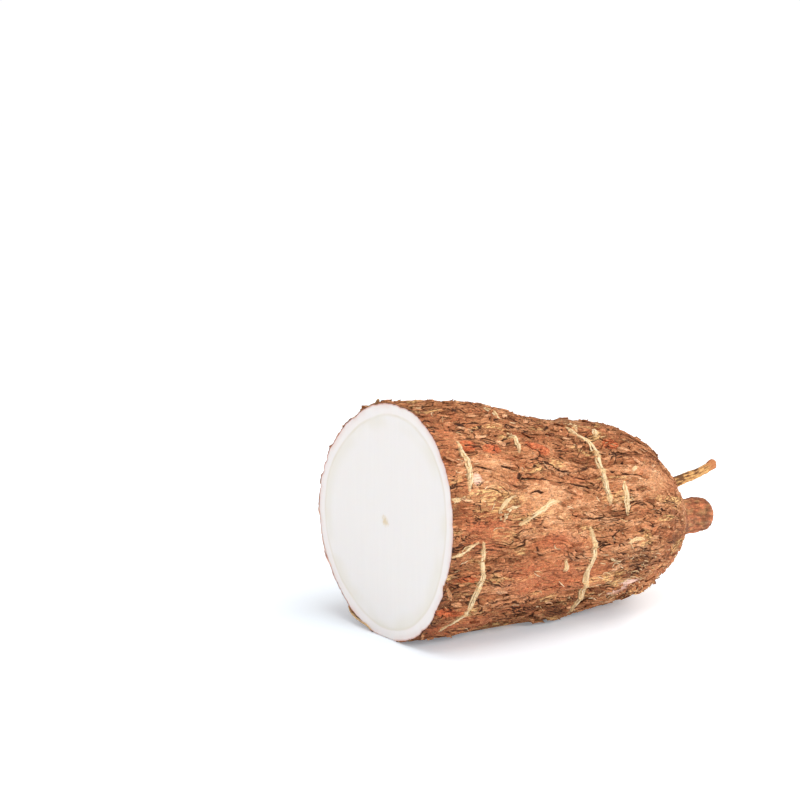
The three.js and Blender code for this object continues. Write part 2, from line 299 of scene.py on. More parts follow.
def nearest_on_path(path: Path2, x: Array, angle: Array, radius: float) -> tuple[Array, Array]:
    """Distance over the surface from each point to a broken line, and the distance left to the line's end.

    Args:
        path: points as distance from the cut and degrees round the root.
        x: distances from the cut.
        angle: angles round the root.
        radius: the root's radius near the path.

    Returns:
        The distance to the line, and the shorter way along it to one of its ends.
    """
    spots = np.array([(px, math.radians(degrees) * radius) for px, degrees in path])
    middle = spots[:, 1].mean()
    turn = FULL_TURN * radius
    s = angle * radius
    s = s + np.round((middle - s) / turn) * turn
    lengths = np.hypot(*np.diff(spots, axis=0).T)
    total = lengths.sum()
    best = np.full(np.broadcast(x, s).shape, FAR_AWAY)
    end = np.zeros(best.shape)
    for index, length in enumerate(lengths):
        ax, ay = spots[index]
        dx, dy = (spots[index + 1] - spots[index]) / length
        t = np.clip((x - ax) * dx + (s - ay) * dy, 0, length)
        distance = np.hypot(x - ax - t * dx, s - ay - t * dy)
        walked = lengths[:index].sum() + t
        nearer = distance < best
        best = np.where(nearer, distance, best)
        end = np.where(nearer, np.minimum(walked, total - walked), end)
    return best, end


@dataclass(frozen=True)
class Scar:
    """A bar of pale cork: its path as distance from the cut and degrees round the root, width and strands."""

    path: Path2
    width: float = 1.9
    strands: int = 2
    height: float = 0.7


SCARS: tuple[Scar, ...] = (
    Scar(((11.8, 182), (12.1, 192), (13.1, 200), (12.8, 210), (11.9, 223), (9.4, 230), (6.7, 237)), 1.9, 4),
    Scar(((56.5, 176), (58.3, 192), (57.8, 207), (60.1, 226), (59.3, 239)), 2.5, 4),
    Scar(((61.0, 112), (63.5, 119), (65.5, 127), (64.1, 141), (64.7, 154), (65.3, 163)), 2.6, 4),
    Scar(((72.3, 151), (72.2, 160), (72.8, 170)), 2.0, 3),
    Scar(((7.8, 134), (8.3, 140), (8.1, 144), (7.4, 150), (6.4, 157)), 1.7, 3),
    Scar(((30.1, 128), (29.8, 133), (30.2, 139)), 1.8, 3),
    Scar(((29.9, 106), (29.8, 112), (30.9, 118)), 1.7, 3),
    Scar(((66.0, 100), (65.3, 107), (64.2, 114)), 1.8, 3),
    Scar(((47.2, 195), (47.4, 199), (47.7, 204)), 1.7, 3),
    Scar(((71.3, 114), (70.6, 117), (69.9, 120)), 1.8, 3),
    Scar(((42.9, 162), (38.7, 163), (35.5, 166), (31.8, 169), (25.0, 174)), 1.3, 3, 0.5),
    Scar(((72.1, 186.5), (75.5, 185), (79.6, 186)), 0.9, 2, 0.4),
    Scar(((80.1, 142), (78.8, 143), (77.5, 144)), 1.0, 2, 0.4),
    Scar(((0.2, 160), (2.5, 160.5), (5.0, 159)), 1.0, 2, 0.4),
    Scar(((0.3, 187), (4.0, 184.5), (9.5, 181.5)), 1.3, 3, 0.6),
    Scar(((17.5, 171), (18.2, 166), (20.5, 162), (24.5, 160)), 0.9, 3, 0.5),
    Scar(((19.0, 172), (20.0, 168.5), (22.5, 166), (26.5, 165)), 0.8, 2, 0.4),
    Scar(((66.5, 196), (69.0, 199), (72.0, 200)), 0.7, 2, 0.3),
    Scar(((22, 62), (23.5, 42), (21, 16)), 2.2, 4),
    Scar(((46, 80), (44.6, 66), (46.5, 54)), 1.8, 3),
    Scar(((54, 34), (56.5, 8), (53, -18)), 2.3, 4),
    Scar(((79, 70), (80.2, 52), (78, 30)), 1.9, 3),
    Scar(((36, -4), (34.6, -18), (36.5, -32)), 1.8, 3),
    Scar(((12, -8), (10.5, -22), (13, -40)), 2.0, 4),
    Scar(((74, -8), (75.4, -26), (72, -48)), 2.0, 3),
    Scar(((87, 10), (88, 0), (87, -12)), 1.7, 3),
)


@dataclass(frozen=True)
class Patch:
    """A soft-edged slanted oval on the bark: centre as distance and degrees, half sizes, and slant."""

    x: float
    degrees: float
    half_x: float
    half_s: float
    slant: float = 0.0

    def share(self, form: RootForm, x: Array, angle: Array, soft: float = 0.35) -> Array:
        """How far inside the oval each point lies, 1 at the centre and 0 outside."""
        turn = angle - math.radians(self.degrees)
        turn = np.arctan2(np.sin(turn), np.cos(turn))
        dx = x - self.x
        ds = turn * form.radius_at(self.x) - self.slant * dx
        return 1 - smoothstep(1 - soft, 1 + soft / 2, np.hypot(dx / self.half_x, ds / self.half_s))


@dataclass
class Survey:
    """What the bark is like at a set of points: how far it stands out, and marks that its colours follow."""

    out: Array
    crack_and_shade: Array
    cork: Array
    tone: Array
    red: Array
    grey: Array
    straw: Array
    peel: Array
    orange: Array
    tail: Array
    bed: Array


@dataclass(frozen=True)
class Shingles:
    """Sizes of a set of torn overlapping layers, and which piece of the endless noise draws them."""

    across: float
    along: float
    count: int
    shift: float
    riser: float = 0.26
    line: float = 0.3
    nudge: float = 0.12


@dataclass(frozen=True)
class BarkSkin:
    """The bark's fine surface: plates, two sizes of shingles, cracks, grain, scars and patches.

    Places that the photograph shows are on the front, from about 95 to 240 degrees. The rest are made up.
    """

    form: RootForm = RootForm()
    broad: Shingles = Shingles(2.4, 11, 5, 101)
    fine: Shingles = Shingles(1.1, 4.8, 3, 131)
    # Height of the layers over the bark's own relief, and depth of the cracks cut in them, in millimetres.
    broad_height: float = 0.62
    fine_height: float = 0.3
    plate_crack_depth: float = 0.35
    broad_crack_depth: float = 0.25
    fine_crack_depth: float = 0.12
    fissure_depth: float = 0.7
    rubble_crack_depth: float = 0.4
    thread_height: float = 0.16
    grit_height: float = 0.14
    peel_depth: float = 0.9
    lump_height: float = 0.9
    # Where the tail starts and is full, and where its broken edge does, as distances from the cut.
    tail: tuple[float, float] = (111, 118)
    broken_edge: tuple[float, float] = (129.0, 132.0)
    smooth_places: tuple[Patch, ...] = (
        Patch(43, 161, 21, 7.5), Patch(84, 150, 12, 6), Patch(18, 146, 8, 4), Patch(72, 60, 14, 6),
    )
    ruddy_places: tuple[Patch, ...] = (
        Patch(40, 205, 23, 8.5, 0.05), Patch(12, 236, 14, 7), Patch(14, 178, 10, 7),
        Patch(44, 184, 12, 4, 0.15), Patch(30, 20, 24, 9, 0.1), Patch(66, -30, 18, 8), Patch(12, 60, 10, 6),
    )
    orange_places: tuple[Patch, ...] = (
        Patch(10.9, 136, 3.6, 2.3), Patch(19.5, 138, 4.2, 1.9), Patch(38.2, 136, 5.6, 2.1, 0.1),
        Patch(74.3, 125, 4.0, 2.2), Patch(50, 40, 6.5, 2.4), Patch(20, -6, 5, 2.2),
        Patch(5, 221, 6.5, 1.5, 0.1), Patch(8, 201, 4.0, 1.5),
    )
    peeled_places: tuple[Patch, ...] = (
        Patch(77.5, 222, 9.0, 2.1, -0.35), Patch(42, 24, 8.0, 1.8, 0.2), Patch(90, 80, 6.0, 1.6, 0.3),
    )
    grey_places: tuple[Patch, ...] = (
        Patch(80, 202, 14, 11), Patch(60, 95, 22, 9, 0.1), Patch(74, 40, 16, 9), Patch(20, 66, 12, 8),
    )
    fissures: tuple[Path2, ...] = (
        ((25.8, 150), (33, 151), (42.4, 153), (51, 152), (60.3, 154)), ((8.5, 147), (13, 148), (17, 149)),
        ((17.5, 147), (23, 147.5), (29, 149)), ((26, 143), (38, 144), (52, 147)),
        ((29, 158), (34, 158), (38, 159.5)), ((66, 143), (74, 146), (83, 147)),
        ((12, 122), (20, 124), (27, 123)), ((38, 118), (47, 121), (56, 119)),
        ((46, 170), (54, 171), (61, 168)), ((15, 226), (24, 222), (31, 223)),
        ((30, 214), (39, 217), (47, 214)), ((20, 50), (31, 53), (42, 50)), ((50, 12), (61, 14), (70, 10)),
        ((28, -40), (40, -36), (52, -38)),
    )
    # Patches that the tone darkens as painted shade.
    painted_shade_places: tuple[Patch, ...] = (
        Patch(3, 214, 12, 20), Patch(1, 232, 13, 13), Patch(80, 212, 9, 7), Patch(57, 134, 11, 6),
        Patch(98, 196, 9, 18), Patch(48, 232, 14, 8),
    )
    pale_lump: Patch = Patch(9.6, 152.5, 2.1, 1.9)

    def any_of(self, patches: Sequence[Patch], x: Array, angle: Array, soft: float = 0.35) -> Array:
        """The largest share of any patch at each point."""
        return np.max([patch.share(self.form, x, angle, soft) for patch in patches], axis=0)

    def scar_marks(self, x: Array, angle: Array) -> tuple[Array, Array]:
        """Height of the scars' beds above the bark, and how corky each point is.

        The bed is a low round bar along each path, with an edge that wanders with fine noise.
        """
        ragged = 0.7 * (self.form.grain(x, angle, 1.1, 1.1, 5) - 0.5)
        height = np.zeros(np.broadcast(x, angle).shape)
        cork = np.zeros(height.shape)
        for scar in SCARS:
            radius = self.form.radius_at(scar.path[len(scar.path) // 2][0])
            distance, end = nearest_on_path(scar.path, x, angle, radius)
            half = scar.width / 2 * (0.55 + 0.45 * smoothstep(0, 3, end))
            inside = np.clip(1 - (distance + ragged * 0.5) / half, 0, 1)
            height = np.maximum(height, scar.height * np.sqrt(inside) * smoothstep(-1, 2.5, end))
            cork = np.maximum(cork, smoothstep(0.0, 0.3, inside))
        return height, cork

    def fissure_marks(self, x: Array, angle: Array) -> Array:
        """The long fissures: 1 on their lines, 0 a short way off and past their ends."""
        mark = np.zeros(x.shape)
        for path in self.fissures:
            distance, end = nearest_on_path(path, x, angle, self.form.radius_at(path[1][0]))
            mark = np.maximum(mark, (1 - smoothstep(0.08, 0.42, distance)) * smoothstep(0, 2, end))
        return mark

    def shingles(self, x: Array, angle: Array, layer: Shingles) -> tuple[Array, Array]:
        """Overlapping layers: contour lines of noise are torn edges, and the bark slopes down between them.

        Args:
            x: distances from the cut.
            angle: angles round the root.
            layer: the layers' sizes.

        Returns:
            The height from about -0.6 just below an edge to 0.6 just above it, and a line from 0 to 1 at the
            foot of each edge, of the same width in millimetres wherever it runs. The line cuts a groove, and
            the bark's colour darkens along it as a painted shadow under the edge.
        """
        grain = partial(self.form.grain, across=layer.across, along=layer.along, shift=layer.shift)
        value = grain(x, angle) * layer.count
        beside = grain(x, angle + layer.nudge / self.form.pattern_radius)
        ahead = grain(x + layer.nudge, angle)
        slope = np.hypot(beside * layer.count - value, ahead * layer.count - value) / layer.nudge + 0.02
        part = value - np.floor(value)
        gap = (1 - part) / slope
        riser = 1 - smoothstep(0, layer.riser, gap)
        foot = 1 - smoothstep(0, layer.line, np.abs(gap - layer.riser))
        return riser - part * 0.85 + 0.25, foot * smoothstep(0.15, 0.5, slope)

    def survey(self, x: Array, angle: Array) -> Survey:
        """Works out the bark at every point at once.

        The relief is the solid's own plus plates, two sizes of shingles, fibres and grit, less the cracks
        along their edges. Noise bends the pattern first, and zones say how rough the bark is. On the narrow
        tail rubble takes the layers' place. Peeled patches, scars and a pale lump lie over it all.

        Args:
            x: distances from the cut.
            angle: angles round the root, of a shape that matches x.

        Returns:
            The survey, with arrays of the inputs' common shape.
        """
        form = self.form
        x, angle = np.broadcast_arrays(x, angle)
        share = form.bark_share(x)
        walked = form.walk(x)
        grain = partial(form.grain, x, angle)
        bent_x = walked + 5.0 * (grain(6, 10, 3) - 0.5) + 1.4 * (grain(1.5, 2.0, 9) - 0.5)
        swing = 3.6 * (grain(7, 13, 6) - 0.5) + 1.1 * (grain(1.3, 2.2, 4) - 0.5)
        bent = angle + swing / form.pattern_radius
        bent_grain = partial(form.grain, x, bent)

        # Zones, each from 0 to 1.
        field = smoothstep(0.62, 0.8, grain(20, 26, 17))
        ruddy = self.any_of(self.ruddy_places, x, angle, 0.6)
        tan = self.any_of(self.smooth_places, x, angle, 0.7)
        smooth = np.maximum.reduce([tan, 0.55 * ruddy, field])
        rough = 1 - 0.72 * smooth
        wide = smoothstep(0.45, 0.9, form.along(x, 1) / form.shoulder_radius)
        tail = smoothstep(*self.tail, x)
        beside_cut = 1 - smoothstep(1, 8, x)
        crest = np.maximum(smoothstep(0.55, 0.95, np.sin(angle)), smoothstep(0.6, 0.9, -np.sin(angle)))
        open_plate = smoothstep(0.38, 0.62, grain(5, 12, 31)) * rough
        open_broad = smoothstep(0.3, 0.55, grain(2.6, 8, 41)) * rough
        open_broad = np.clip(open_broad + 0.45 * crest + 0.35 * beside_cut, 0, 1)
        open_fine = smoothstep(0.38, 0.6, grain(2, 5, 51)) * rough
        open_fine = np.clip(open_fine + 0.5 * crest + 0.4 * beside_cut, 0, 1)

        # Layers and the cracks along their edges.
        chance, edge, slant = Plates(form, 17, 4.4, 2.0).cells(bent_x, bent)
        plate = (0.5 * (chance - 0.5) + 0.5 * slant) * smoothstep(0, 0.2, edge) * (0.4 + 0.6 * rough)
        plate_crack = 0.7 * (1 - smoothstep(0.02, 0.1, edge)) * open_plate * wide
        broad, broad_crack = self.shingles(bent_x, bent, self.broad)
        broad_crack = broad_crack * open_broad * (0.3 + 0.7 * wide)
        fine, fine_crack = self.shingles(bent_x, bent, self.fine)
        fine_crack = fine_crack * open_fine * wide
        thread = self.thread_height * (form.grain(walked, bent, 0.7, 4.0, 61) - 0.5)
        grit = self.grit_height * (form.grain(walked, angle, 0.6, 0.8, 71) - 0.5)
        lumps = form.crumble(x, angle, 2.1, 15) - 0.5
        pits = form.crumble(x, angle, 0.95, 45) - 0.5
        rubble_crack = (1 - smoothstep(0.02, 0.07, np.abs(lumps))) * smoothstep(-0.05, 0.1, pits) * (1 - wide)
        long_crack = self.fissure_marks(x + bent_x - walked, bent)
        layers = plate + self.broad_height * broad * (0.25 + 0.75 * open_broad)
        layers = layers + self.fine_height * fine * (0.2 + 0.8 * open_fine)
        layers = layers * (0.45 + 0.55 * wide) + (1.5 * lumps + 0.9 * pits) * (1 - wide)
        layers = layers + thread + grit
        for depth, mark in (
            (self.plate_crack_depth, plate_crack),
            (self.broad_crack_depth, broad_crack),
            (self.fine_crack_depth, fine_crack),
            (self.fissure_depth, long_crack),
            (self.rubble_crack_depth, rubble_crack),
        ):
            layers = layers - depth * mark

        # What lies over them.
        scar_height, cork = self.scar_marks(x, angle)
        ripple = 0.8 * (grain(2.2, 4.0, 8) - 0.5)
        frayed = 1 + 2.0 * (bent_grain(0.6, 4.5, 19) - 0.5) + 0.8 * ripple
        peel = smoothstep(0.38, 0.5, self.any_of(self.peeled_places, x, angle, 0.9) * frayed)
        lump = self.pale_lump.share(form, x, angle, 0.6)
        out = form.broad_relief(x, angle) * (1 - 0.35 * smooth) * share
        out = out + layers * (1 - 0.6 * tail) * np.maximum(share, 0.75 * smoothstep(20, 60, x))
        out = out * (1 - peel) - self.peel_depth * peel * share + scar_height * share
        out = out + self.lump_height * lump

        # Marks for the colours.
        # The cracks' mark darkens the colour: their own dark bark, with painted shade in them and a painted
        # shadow at the foot of each shingle's edge.
        cracks = (plate_crack, broad_crack, 0.8 * fine_crack, long_crack, 0.6 * rubble_crack)
        crack_and_shade = np.maximum.reduce(cracks) * (1 - 0.4 * tail)
        broken_edge = smoothstep(*self.broken_edge, x + 3 * ripple) * (0.25 + 0.25 * grain(2.6, 3, 33))
        # The tone follows the relief's height (the shingles', the plates' slant and the tail's lumps): a
        # painted highlight on each lifted edge and painted shade below it, besides random tone by plate and
        # ripple.
        tone = 0.3 * (chance - 0.5) + 0.42 * broad + 0.42 * fine + 0.2 * slant + 0.25 * ripple
        tone = tone * (1 - 0.45 * smooth) + (0.9 * lumps + 0.6 * pits) * (1 - wide)
        painted_shade = self.any_of(self.painted_shade_places, x, angle, 0.8)
        # Painted shade: darker on the top and the underside, beside the cut and in the shade patches.
        tone = tone + 0.49 + 0.24 * tan - 0.18 * beside_cut - 0.2 * crest - 0.36 * painted_shade
        under = smoothstep(0.84, 0.97, -np.sin(angle)) * smoothstep(6, 26, x)
        straw = np.maximum(0.85 * under * bent_grain(2.2, 14, 81), lump)
        straw = np.maximum(straw, smoothstep(0.68, 0.82, bent_grain(2.4, 9, 91)) * (1 - smooth))
        bare_lump = smoothstep(0.3, 0.5, lump * (0.6 + 0.8 * grain(0.9, 1.2, 29)))
        return Survey(
            out=out * smoothstep(0, 2, form.height(x, angle)),
            crack_and_shade=np.clip((crack_and_shade + broken_edge) * (1 - peel), 0, 1),
            cork=cork,
            tone=np.clip(tone, 0, 1),
            red=np.clip((ruddy + 0.4 * field) * (0.55 + 0.6 * grain(5, 10, 7)) * (1 - tan), 0, 1),
            grey=np.clip(self.any_of(self.grey_places, x, angle, 0.8) * (0.4 + 0.8 * grain(4, 7, 77)), 0, 1),
            straw=np.clip(straw, 0, 1),
            peel=np.maximum(peel, 0.7 * bare_lump),
            orange=smoothstep(0.4, 0.65, self.any_of(self.orange_places, x, angle, 0.5) + 0.3 * ripple),
            tail=tail,
            bed=np.clip(0.4 + layers * 0.6, 0, 1.2),
        )

    def ground(self, x: Array, angle: Array) -> Array:
        """The radius of the bark's surface."""
        return self.form.plain_radius(x, angle) + self.survey(x, angle).out


@dataclass
class Shape:
    """A mesh in the making: points in metres, faces as arrays of corner numbers, and named marks.

    Points that share a sharp number above 0 are joined by creased edges.
    """

    points: Array
    faces: list[Array]
    marks: dict[str, Array] = field(default_factory=dict)
    sharp: Array | None = None

    def build(self, name: str, material: bpy.types.Material) -> bpy.types.Object:
        """Makes the Blender object.

        Args:
            name: the piece's name.
            material: what it is dressed in.

        Returns:
            The object, at the origin, with smooth faces and one vector attribute for each mark.
        """
        mesh = bpy.data.meshes.new(name)
        loops = np.concatenate([part.ravel() for part in self.faces]).astype(np.int32)
        sizes = np.concatenate([np.full(len(part), part.shape[1]) for part in self.faces])
        starts = np.concatenate([[0], np.cumsum(sizes)[:-1]]).astype(np.int32)
        mesh.vertices.add(len(self.points))
        mesh.vertices.foreach_set("co", self.points.astype(np.float32).ravel())
        mesh.loops.add(len(loops))
        mesh.loops.foreach_set("vertex_index", loops)
        mesh.polygons.add(len(sizes))
        mesh.polygons.foreach_set("loop_start", starts)
        mesh.update(calc_edges=True)
        mesh.polygons.foreach_set("use_smooth", np.ones(len(sizes), bool))
        for mark, values in self.marks.items():
            layer = mesh.attributes.new(mark, "FLOAT_VECTOR", "POINT")
            layer.data.foreach_set("vector", values.astype(np.float32).ravel())
        if self.sharp is not None:
            ends = np.empty(2 * len(mesh.edges), np.int32)
            mesh.edges.foreach_get("vertices", ends)
            group = self.sharp[ends.reshape(-1, 2)]
            layer = mesh.attributes.new("sharp_edge", "BOOLEAN", "EDGE")
            layer.data.foreach_set("value", (group[:, 0] == group[:, 1]) & (group[:, 0] > 0))
        mesh.update()
        mesh.materials.append(material)
        piece = bpy.data.objects.new(name, mesh)
        bpy.context.scene.collection.objects.link(piece)
        return piece


def grid_faces(rows: int, columns: int, wrap: bool = False) -> Array:
    """Corners of the faces of a grid whose points are numbered row by row, seen with columns turning left.

    Args:
        rows: number of rows of points.
        columns: number of points in each row.
        wrap: whether the last column joins the first.

    Returns:
        One row of four corners for each face.
    """
    row = np.arange(rows - 1)[:, None] * columns
    column = np.arange(columns if wrap else columns - 1)[None, :]
    beside = (column + 1) % columns
    above = row + columns
    return np.stack([row + column, row + beside, above + beside, above + column], -1).reshape(-1, 4)


def fan(hub: int, first: Array, second: Array) -> Array:
    """Triangles from a hub point to pairs of neighbours on a ring."""
    return np.stack([np.full(len(first), hub), first, second], -1)


def with_ends(values: Array) -> Array:
    """Values at the points of tubes, one row for each, with those of the two closing points added."""
    return np.concatenate([values, values[:, :1], values[:, -1:]], axis=1)


def curve_through(spots: Array, count: int) -> Array:
    """Points along a cubic curve that runs through every spot, evenly spaced by number.

    Each span's slopes come from the spots on either side of it, and the ends are drawn on straight.
    """
    ends = np.concatenate([2 * spots[:1] - spots[1:2], spots, 2 * spots[-1:] - spots[-2:-1]])
    at = np.linspace(0, len(spots) - 1, count)
    i = np.minimum(at.astype(int), len(spots) - 2)
    t = (at - i)[:, None]
    a, b, c, d = (ends[i + k] for k in range(4))
    return 0.5 * (2 * b + (c - a) * t + (2 * a - 5 * b + 4 * c - d) * t**2 + (3 * b - a - 3 * c + d) * t**3)


def marks_of(survey: Survey) -> dict[str, Array]:
    """The survey's marks as three vector attributes for the bark's material."""
    groups = {
        "marks": (survey.crack_and_shade, survey.cork, survey.tone),
        "zones": (survey.red, survey.grey, survey.straw),
        "spots": (survey.peel, survey.orange, survey.tail),
    }
    return {name: np.stack([part.ravel() for part in parts], -1) for name, parts in groups.items()}


def operator_node(operation: str, swapped: bool = False) -> Callable[[Tie, object], Tie]:
    """A tie's operator: it adds the Math node of that name, with the two values swapped or not."""

    def apply(tie: Tie, other: object) -> Tie:
        """Adds the node."""
        return tie.maths(operation, *((other, tie) if swapped else (tie, other)))

    return apply


class Tie:
    """A shader socket with arithmetic: each operator adds the node that works it out."""

    def __init__(self, tree: bpy.types.NodeTree, socket: bpy.types.NodeSocket) -> None:
        """Wraps one output socket of a node tree."""
        self.tree = tree
        self.socket = socket

    def node(
        self,
        kind: str,
        settings: dict[str, object] | None = None,
        inputs: dict[str | int, object] | None = None,
        output: str | int = 0,
    ) -> Tie:
        """Adds a node of any type.

        Args:
            kind: the node's type name.
            settings: its properties, which are set first. Pairs of place and colour under "stops" fill a
                colour ramp.
            inputs: values or ties for its sockets, by name or number.
            output: the output to return.

        Returns:
            The tie on that output.
        """
        made = self.tree.nodes.new(kind)
        for name, value in (settings or {}).items():
            if name == "stops":
                ramp = made.color_ramp
                for index, (place, colour) in enumerate(value):
                    stop = ramp.elements[index] if index < 2 else ramp.elements.new(place)
                    stop.position = place
                    stop.color = colour
            else:
                setattr(made, name, value)
        for name, value in (inputs or {}).items():
            if isinstance(value, Tie):
                self.tree.links.new(value.socket, made.inputs[name])
            else:
                made.inputs[name].default_value = value
        return Tie(self.tree, made.outputs[output])

    def maths(self, operation: str, *values: object, clamp: bool = False) -> Tie:
        """Adds a Math node on number values."""
        settings = {"operation": operation, "use_clamp": clamp}
        return self.node("ShaderNodeMath", settings, dict(enumerate(values)))

    __add__ = operator_node("ADD")
    __mul__ = operator_node("MULTIPLY")
    __sub__ = operator_node("SUBTRACT")
    __rsub__ = operator_node("SUBTRACT", swapped=True)
    __truediv__ = operator_node("DIVIDE")

    def clamped(self) -> Tie:
        """The value kept between 0 and 1."""
        return self.maths("ADD", self, 0.0, clamp=True)

    def off_middle(self) -> Tie:
        """How far a noise is from its middle, which is 0 along thin lines."""
        return (self - 0.5).maths("ABSOLUTE", self - 0.5)

    def ramp(self, low: float, high: float) -> Tie:
        """A smooth ramp from 0 at low to 1 at high."""
        inputs = {"Value": self, "From Min": low, "From Max": high}
        return self.node("ShaderNodeMapRange", {"interpolation_type": "SMOOTHSTEP"}, inputs)

    def blend(self, start: object, end: object) -> Tie:
        """Mixes two colours by this tie. Each is a tie, a screen colour, or a linear one with its alpha."""
        ends = [srgb(part) if isinstance(part, tuple) and len(part) == 3 else part for part in (start, end)]
        return self.node("ShaderNodeMix", {"data_type": "RGBA"}, {0: self, 6: ends[0], 7: ends[1]}, 2)

    def shaded(self, factor: object) -> Tie:
        """This colour times a number."""
        return self.node("ShaderNodeVectorMath", {"operation": "SCALE"}, {0: self, "Scale": factor})


@dataclass
class Finish:
    """A material in the making: its node tree, its shader and the ties that every finish reads."""

    name: str
    roughness: float
    gloss: float
    subsurface: float = 0.0
    reach: float = 0.001

    def __post_init__(self) -> None:
        """Makes the material, sets the shader's constants, and starts the shared ties."""
        self.material = bpy.data.materials.new(self.name)
        self.material.use_nodes = True
        self.tree = self.material.node_tree
        self.shader = self.tree.nodes["Principled BSDF"]
        constants = {
            "Roughness": self.roughness,
            "Specular IOR Level": self.gloss,
            "Subsurface Weight": self.subsurface,
            "Subsurface Radius": (1.0, 0.75, 0.55),
            "Subsurface Scale": self.reach,
        }
        for socket, value in constants.items():
            self.shader.inputs[socket].default_value = value
        place = self.tree.nodes.new("ShaderNodeTexCoord")
        self.place = Tie(self.tree, place.outputs["Object"])

    def attribute(self, name: str) -> tuple[Tie, Tie, Tie]:
        """The three numbers of a vector attribute."""
        vector = self.place.node("ShaderNodeAttribute", {"attribute_name": name}, output="Vector")
        first = self.place.node("ShaderNodeSeparateXYZ", inputs={0: vector})
        return tuple(Tie(self.tree, part) for part in first.socket.node.outputs)

    def noise(
        self, size_mm: float, stretch: float = 1.0, detail: float = 3.0, source: Tie | None = None
    ) -> Tie:
        """Noise from 0 to 1 of a given size, stretched along X, with detail finer layers."""
        scale = 1 / (size_mm * MM)
        source = source or self.place
        mapping = {"Vector": source, "Scale": (scale / stretch, scale, scale)}
        where = source.node("ShaderNodeMapping", inputs=mapping)
        return where.node("ShaderNodeTexNoise", inputs={"Vector": where, "Scale": 1.0, "Detail": detail})

    def link(self, tie: Tie, socket: str) -> None:
        """Feeds one of the shader's sockets."""
        self.tree.links.new(tie.socket, self.shader.inputs[socket])

    def bump(self, height: Tie, distance_mm: float, strength: float = 1.0) -> None:
        """Feeds the shader's normal from a height in units of distance_mm."""
        inputs = {"Height": height, "Distance": distance_mm * MM, "Strength": strength}
        self.link(height.node("ShaderNodeBump", inputs=inputs), "Normal")


@dataclass(frozen=True)
class BarkFinish:
    """Brown flaking bark: its palette, from the photograph's tones."""

    dark: Colour = (124, 72, 42)
    brown: Colour = (176, 110, 70)
    tan: Colour = (212, 146, 101)
    light: Colour = (240, 186, 142)
    red: Colour = (198, 108, 67)
    orange: Colour = (208, 100, 58)
    grey: Colour = (160, 122, 92)
    straw: Colour = (236, 194, 128)
    cork: Colour = (232, 194, 142)
    pink: Colour = (245, 206, 190)
    tail: Colour = (184, 108, 72)
    tail_dark: Colour = (118, 68, 44)
    tail_gold: Colour = (190, 142, 92)
    # The cracks' colour: dark bark, deepened as painted shade in the crevices.
    crack_and_shade: Colour = (62, 32, 16)

    def make(self) -> bpy.types.Material:
        """Colours by the survey's marks, broken up by noise drawn out along the root."""
        finish = Finish("flaking_bark", roughness=0.82, gloss=0.3)
        crack_and_shade, cork, tone = finish.attribute("marks")
        red, grey, straw = finish.attribute("zones")
        peel, orange, tail = finish.attribute("spots")
        streak = finish.noise(0.5, 6.0, 4.0)
        strand = finish.noise(0.62, 4.5, 3.0)
        fleck = finish.noise(0.9, 1.6, 5.0)
        cloud = finish.noise(7.0, 1.6, 3.0)
        bloom = finish.noise(4.2, 2.6, 3.0)
        mixed = tone * 0.62 + streak * 0.42 + fleck * 0.42 + cloud * 0.18 - 0.31
        stops = zip((0.18, 0.36, 0.58, 0.84), map(srgb, (self.dark, self.brown, self.tan, self.light)))
        colour = mixed.node("ShaderNodeValToRGB", {"stops": stops}, {"Fac": mixed})
        ruddy = (red * (fleck * 0.6 + 0.5) + bloom.ramp(0.5, 0.68) * 0.42).clamped()
        colour = (ruddy * 0.85).blend(colour, self.red)
        colour = (grey * fleck.ramp(0.36, 0.62) * 0.7).blend(colour, self.grey)
        colour = (straw * streak.ramp(0.42, 0.6) * 0.72).blend(colour, self.straw)
        colour = (orange * fleck.ramp(0.2, 0.5) * 0.8).blend(colour, self.orange)
        mottle = finish.noise(1.1, 1.6, 5.0) * 0.9 + finish.noise(4.0, 1.0, 2.0) * 0.5 - 0.2
        stub = mottle.ramp(0.34, 0.6).blend(self.tail_dark, self.tail)
        gold = finish.noise(2.6, 1.3, 4.0).ramp(0.5, 0.66)
        stub = (gold * 0.75).blend(stub, self.tail_gold)
        stub = stub.shaded(finish.noise(2.1, 1.5, 4.0) * 3.4 - 0.87)
        colour = (tail * 0.8).blend(colour, stub)
        colour = (peel * (streak.ramp(0.36, 0.56) * 0.55 + 0.45)).blend(colour, self.pink)
        bare = 1 - (tail * 0.8 + peel).clamped()
        dark_line = (1 - streak.off_middle().ramp(0.0, 0.04)) * fleck.ramp(0.46, 0.56) * bare
        pale_line = (1 - strand.off_middle().ramp(0.0, 0.03)) * (1 - fleck.ramp(0.44, 0.52)) * bare
        colour = (pale_line * 0.55).blend(colour, self.straw)
        # Darkens the cracks, partly their own colour and partly painted shade, and the thin dark lines.
        dark = (crack_and_shade.ramp(0.3, 0.72) * 0.94 + dark_line * 0.6).clamped()
        colour = dark.blend(colour, self.crack_and_shade)
        dusted = (cork * (fleck * 0.7 + 0.7)).clamped() * (1 - crack_and_shade * 0.4)
        colour = dusted.blend(colour, self.cork)
        shade = streak * 0.7 * bare + finish.noise(0.28, 1.5, 3.0) * 1.7 + 0.18 - bare * 0.35
        finish.link(colour.shaded(shade), "Base Color")
        finish.link(0.9 - red * 0.18 - tail * 0.12 - peel * 0.2, "Roughness")
        height = streak * 0.7 + finish.noise(0.35, 1.4, 4.0) * 0.8 - dark_line * 0.7 + pale_line * 0.4
        finish.bump(height, 0.26, 1.0)
        return finish.material


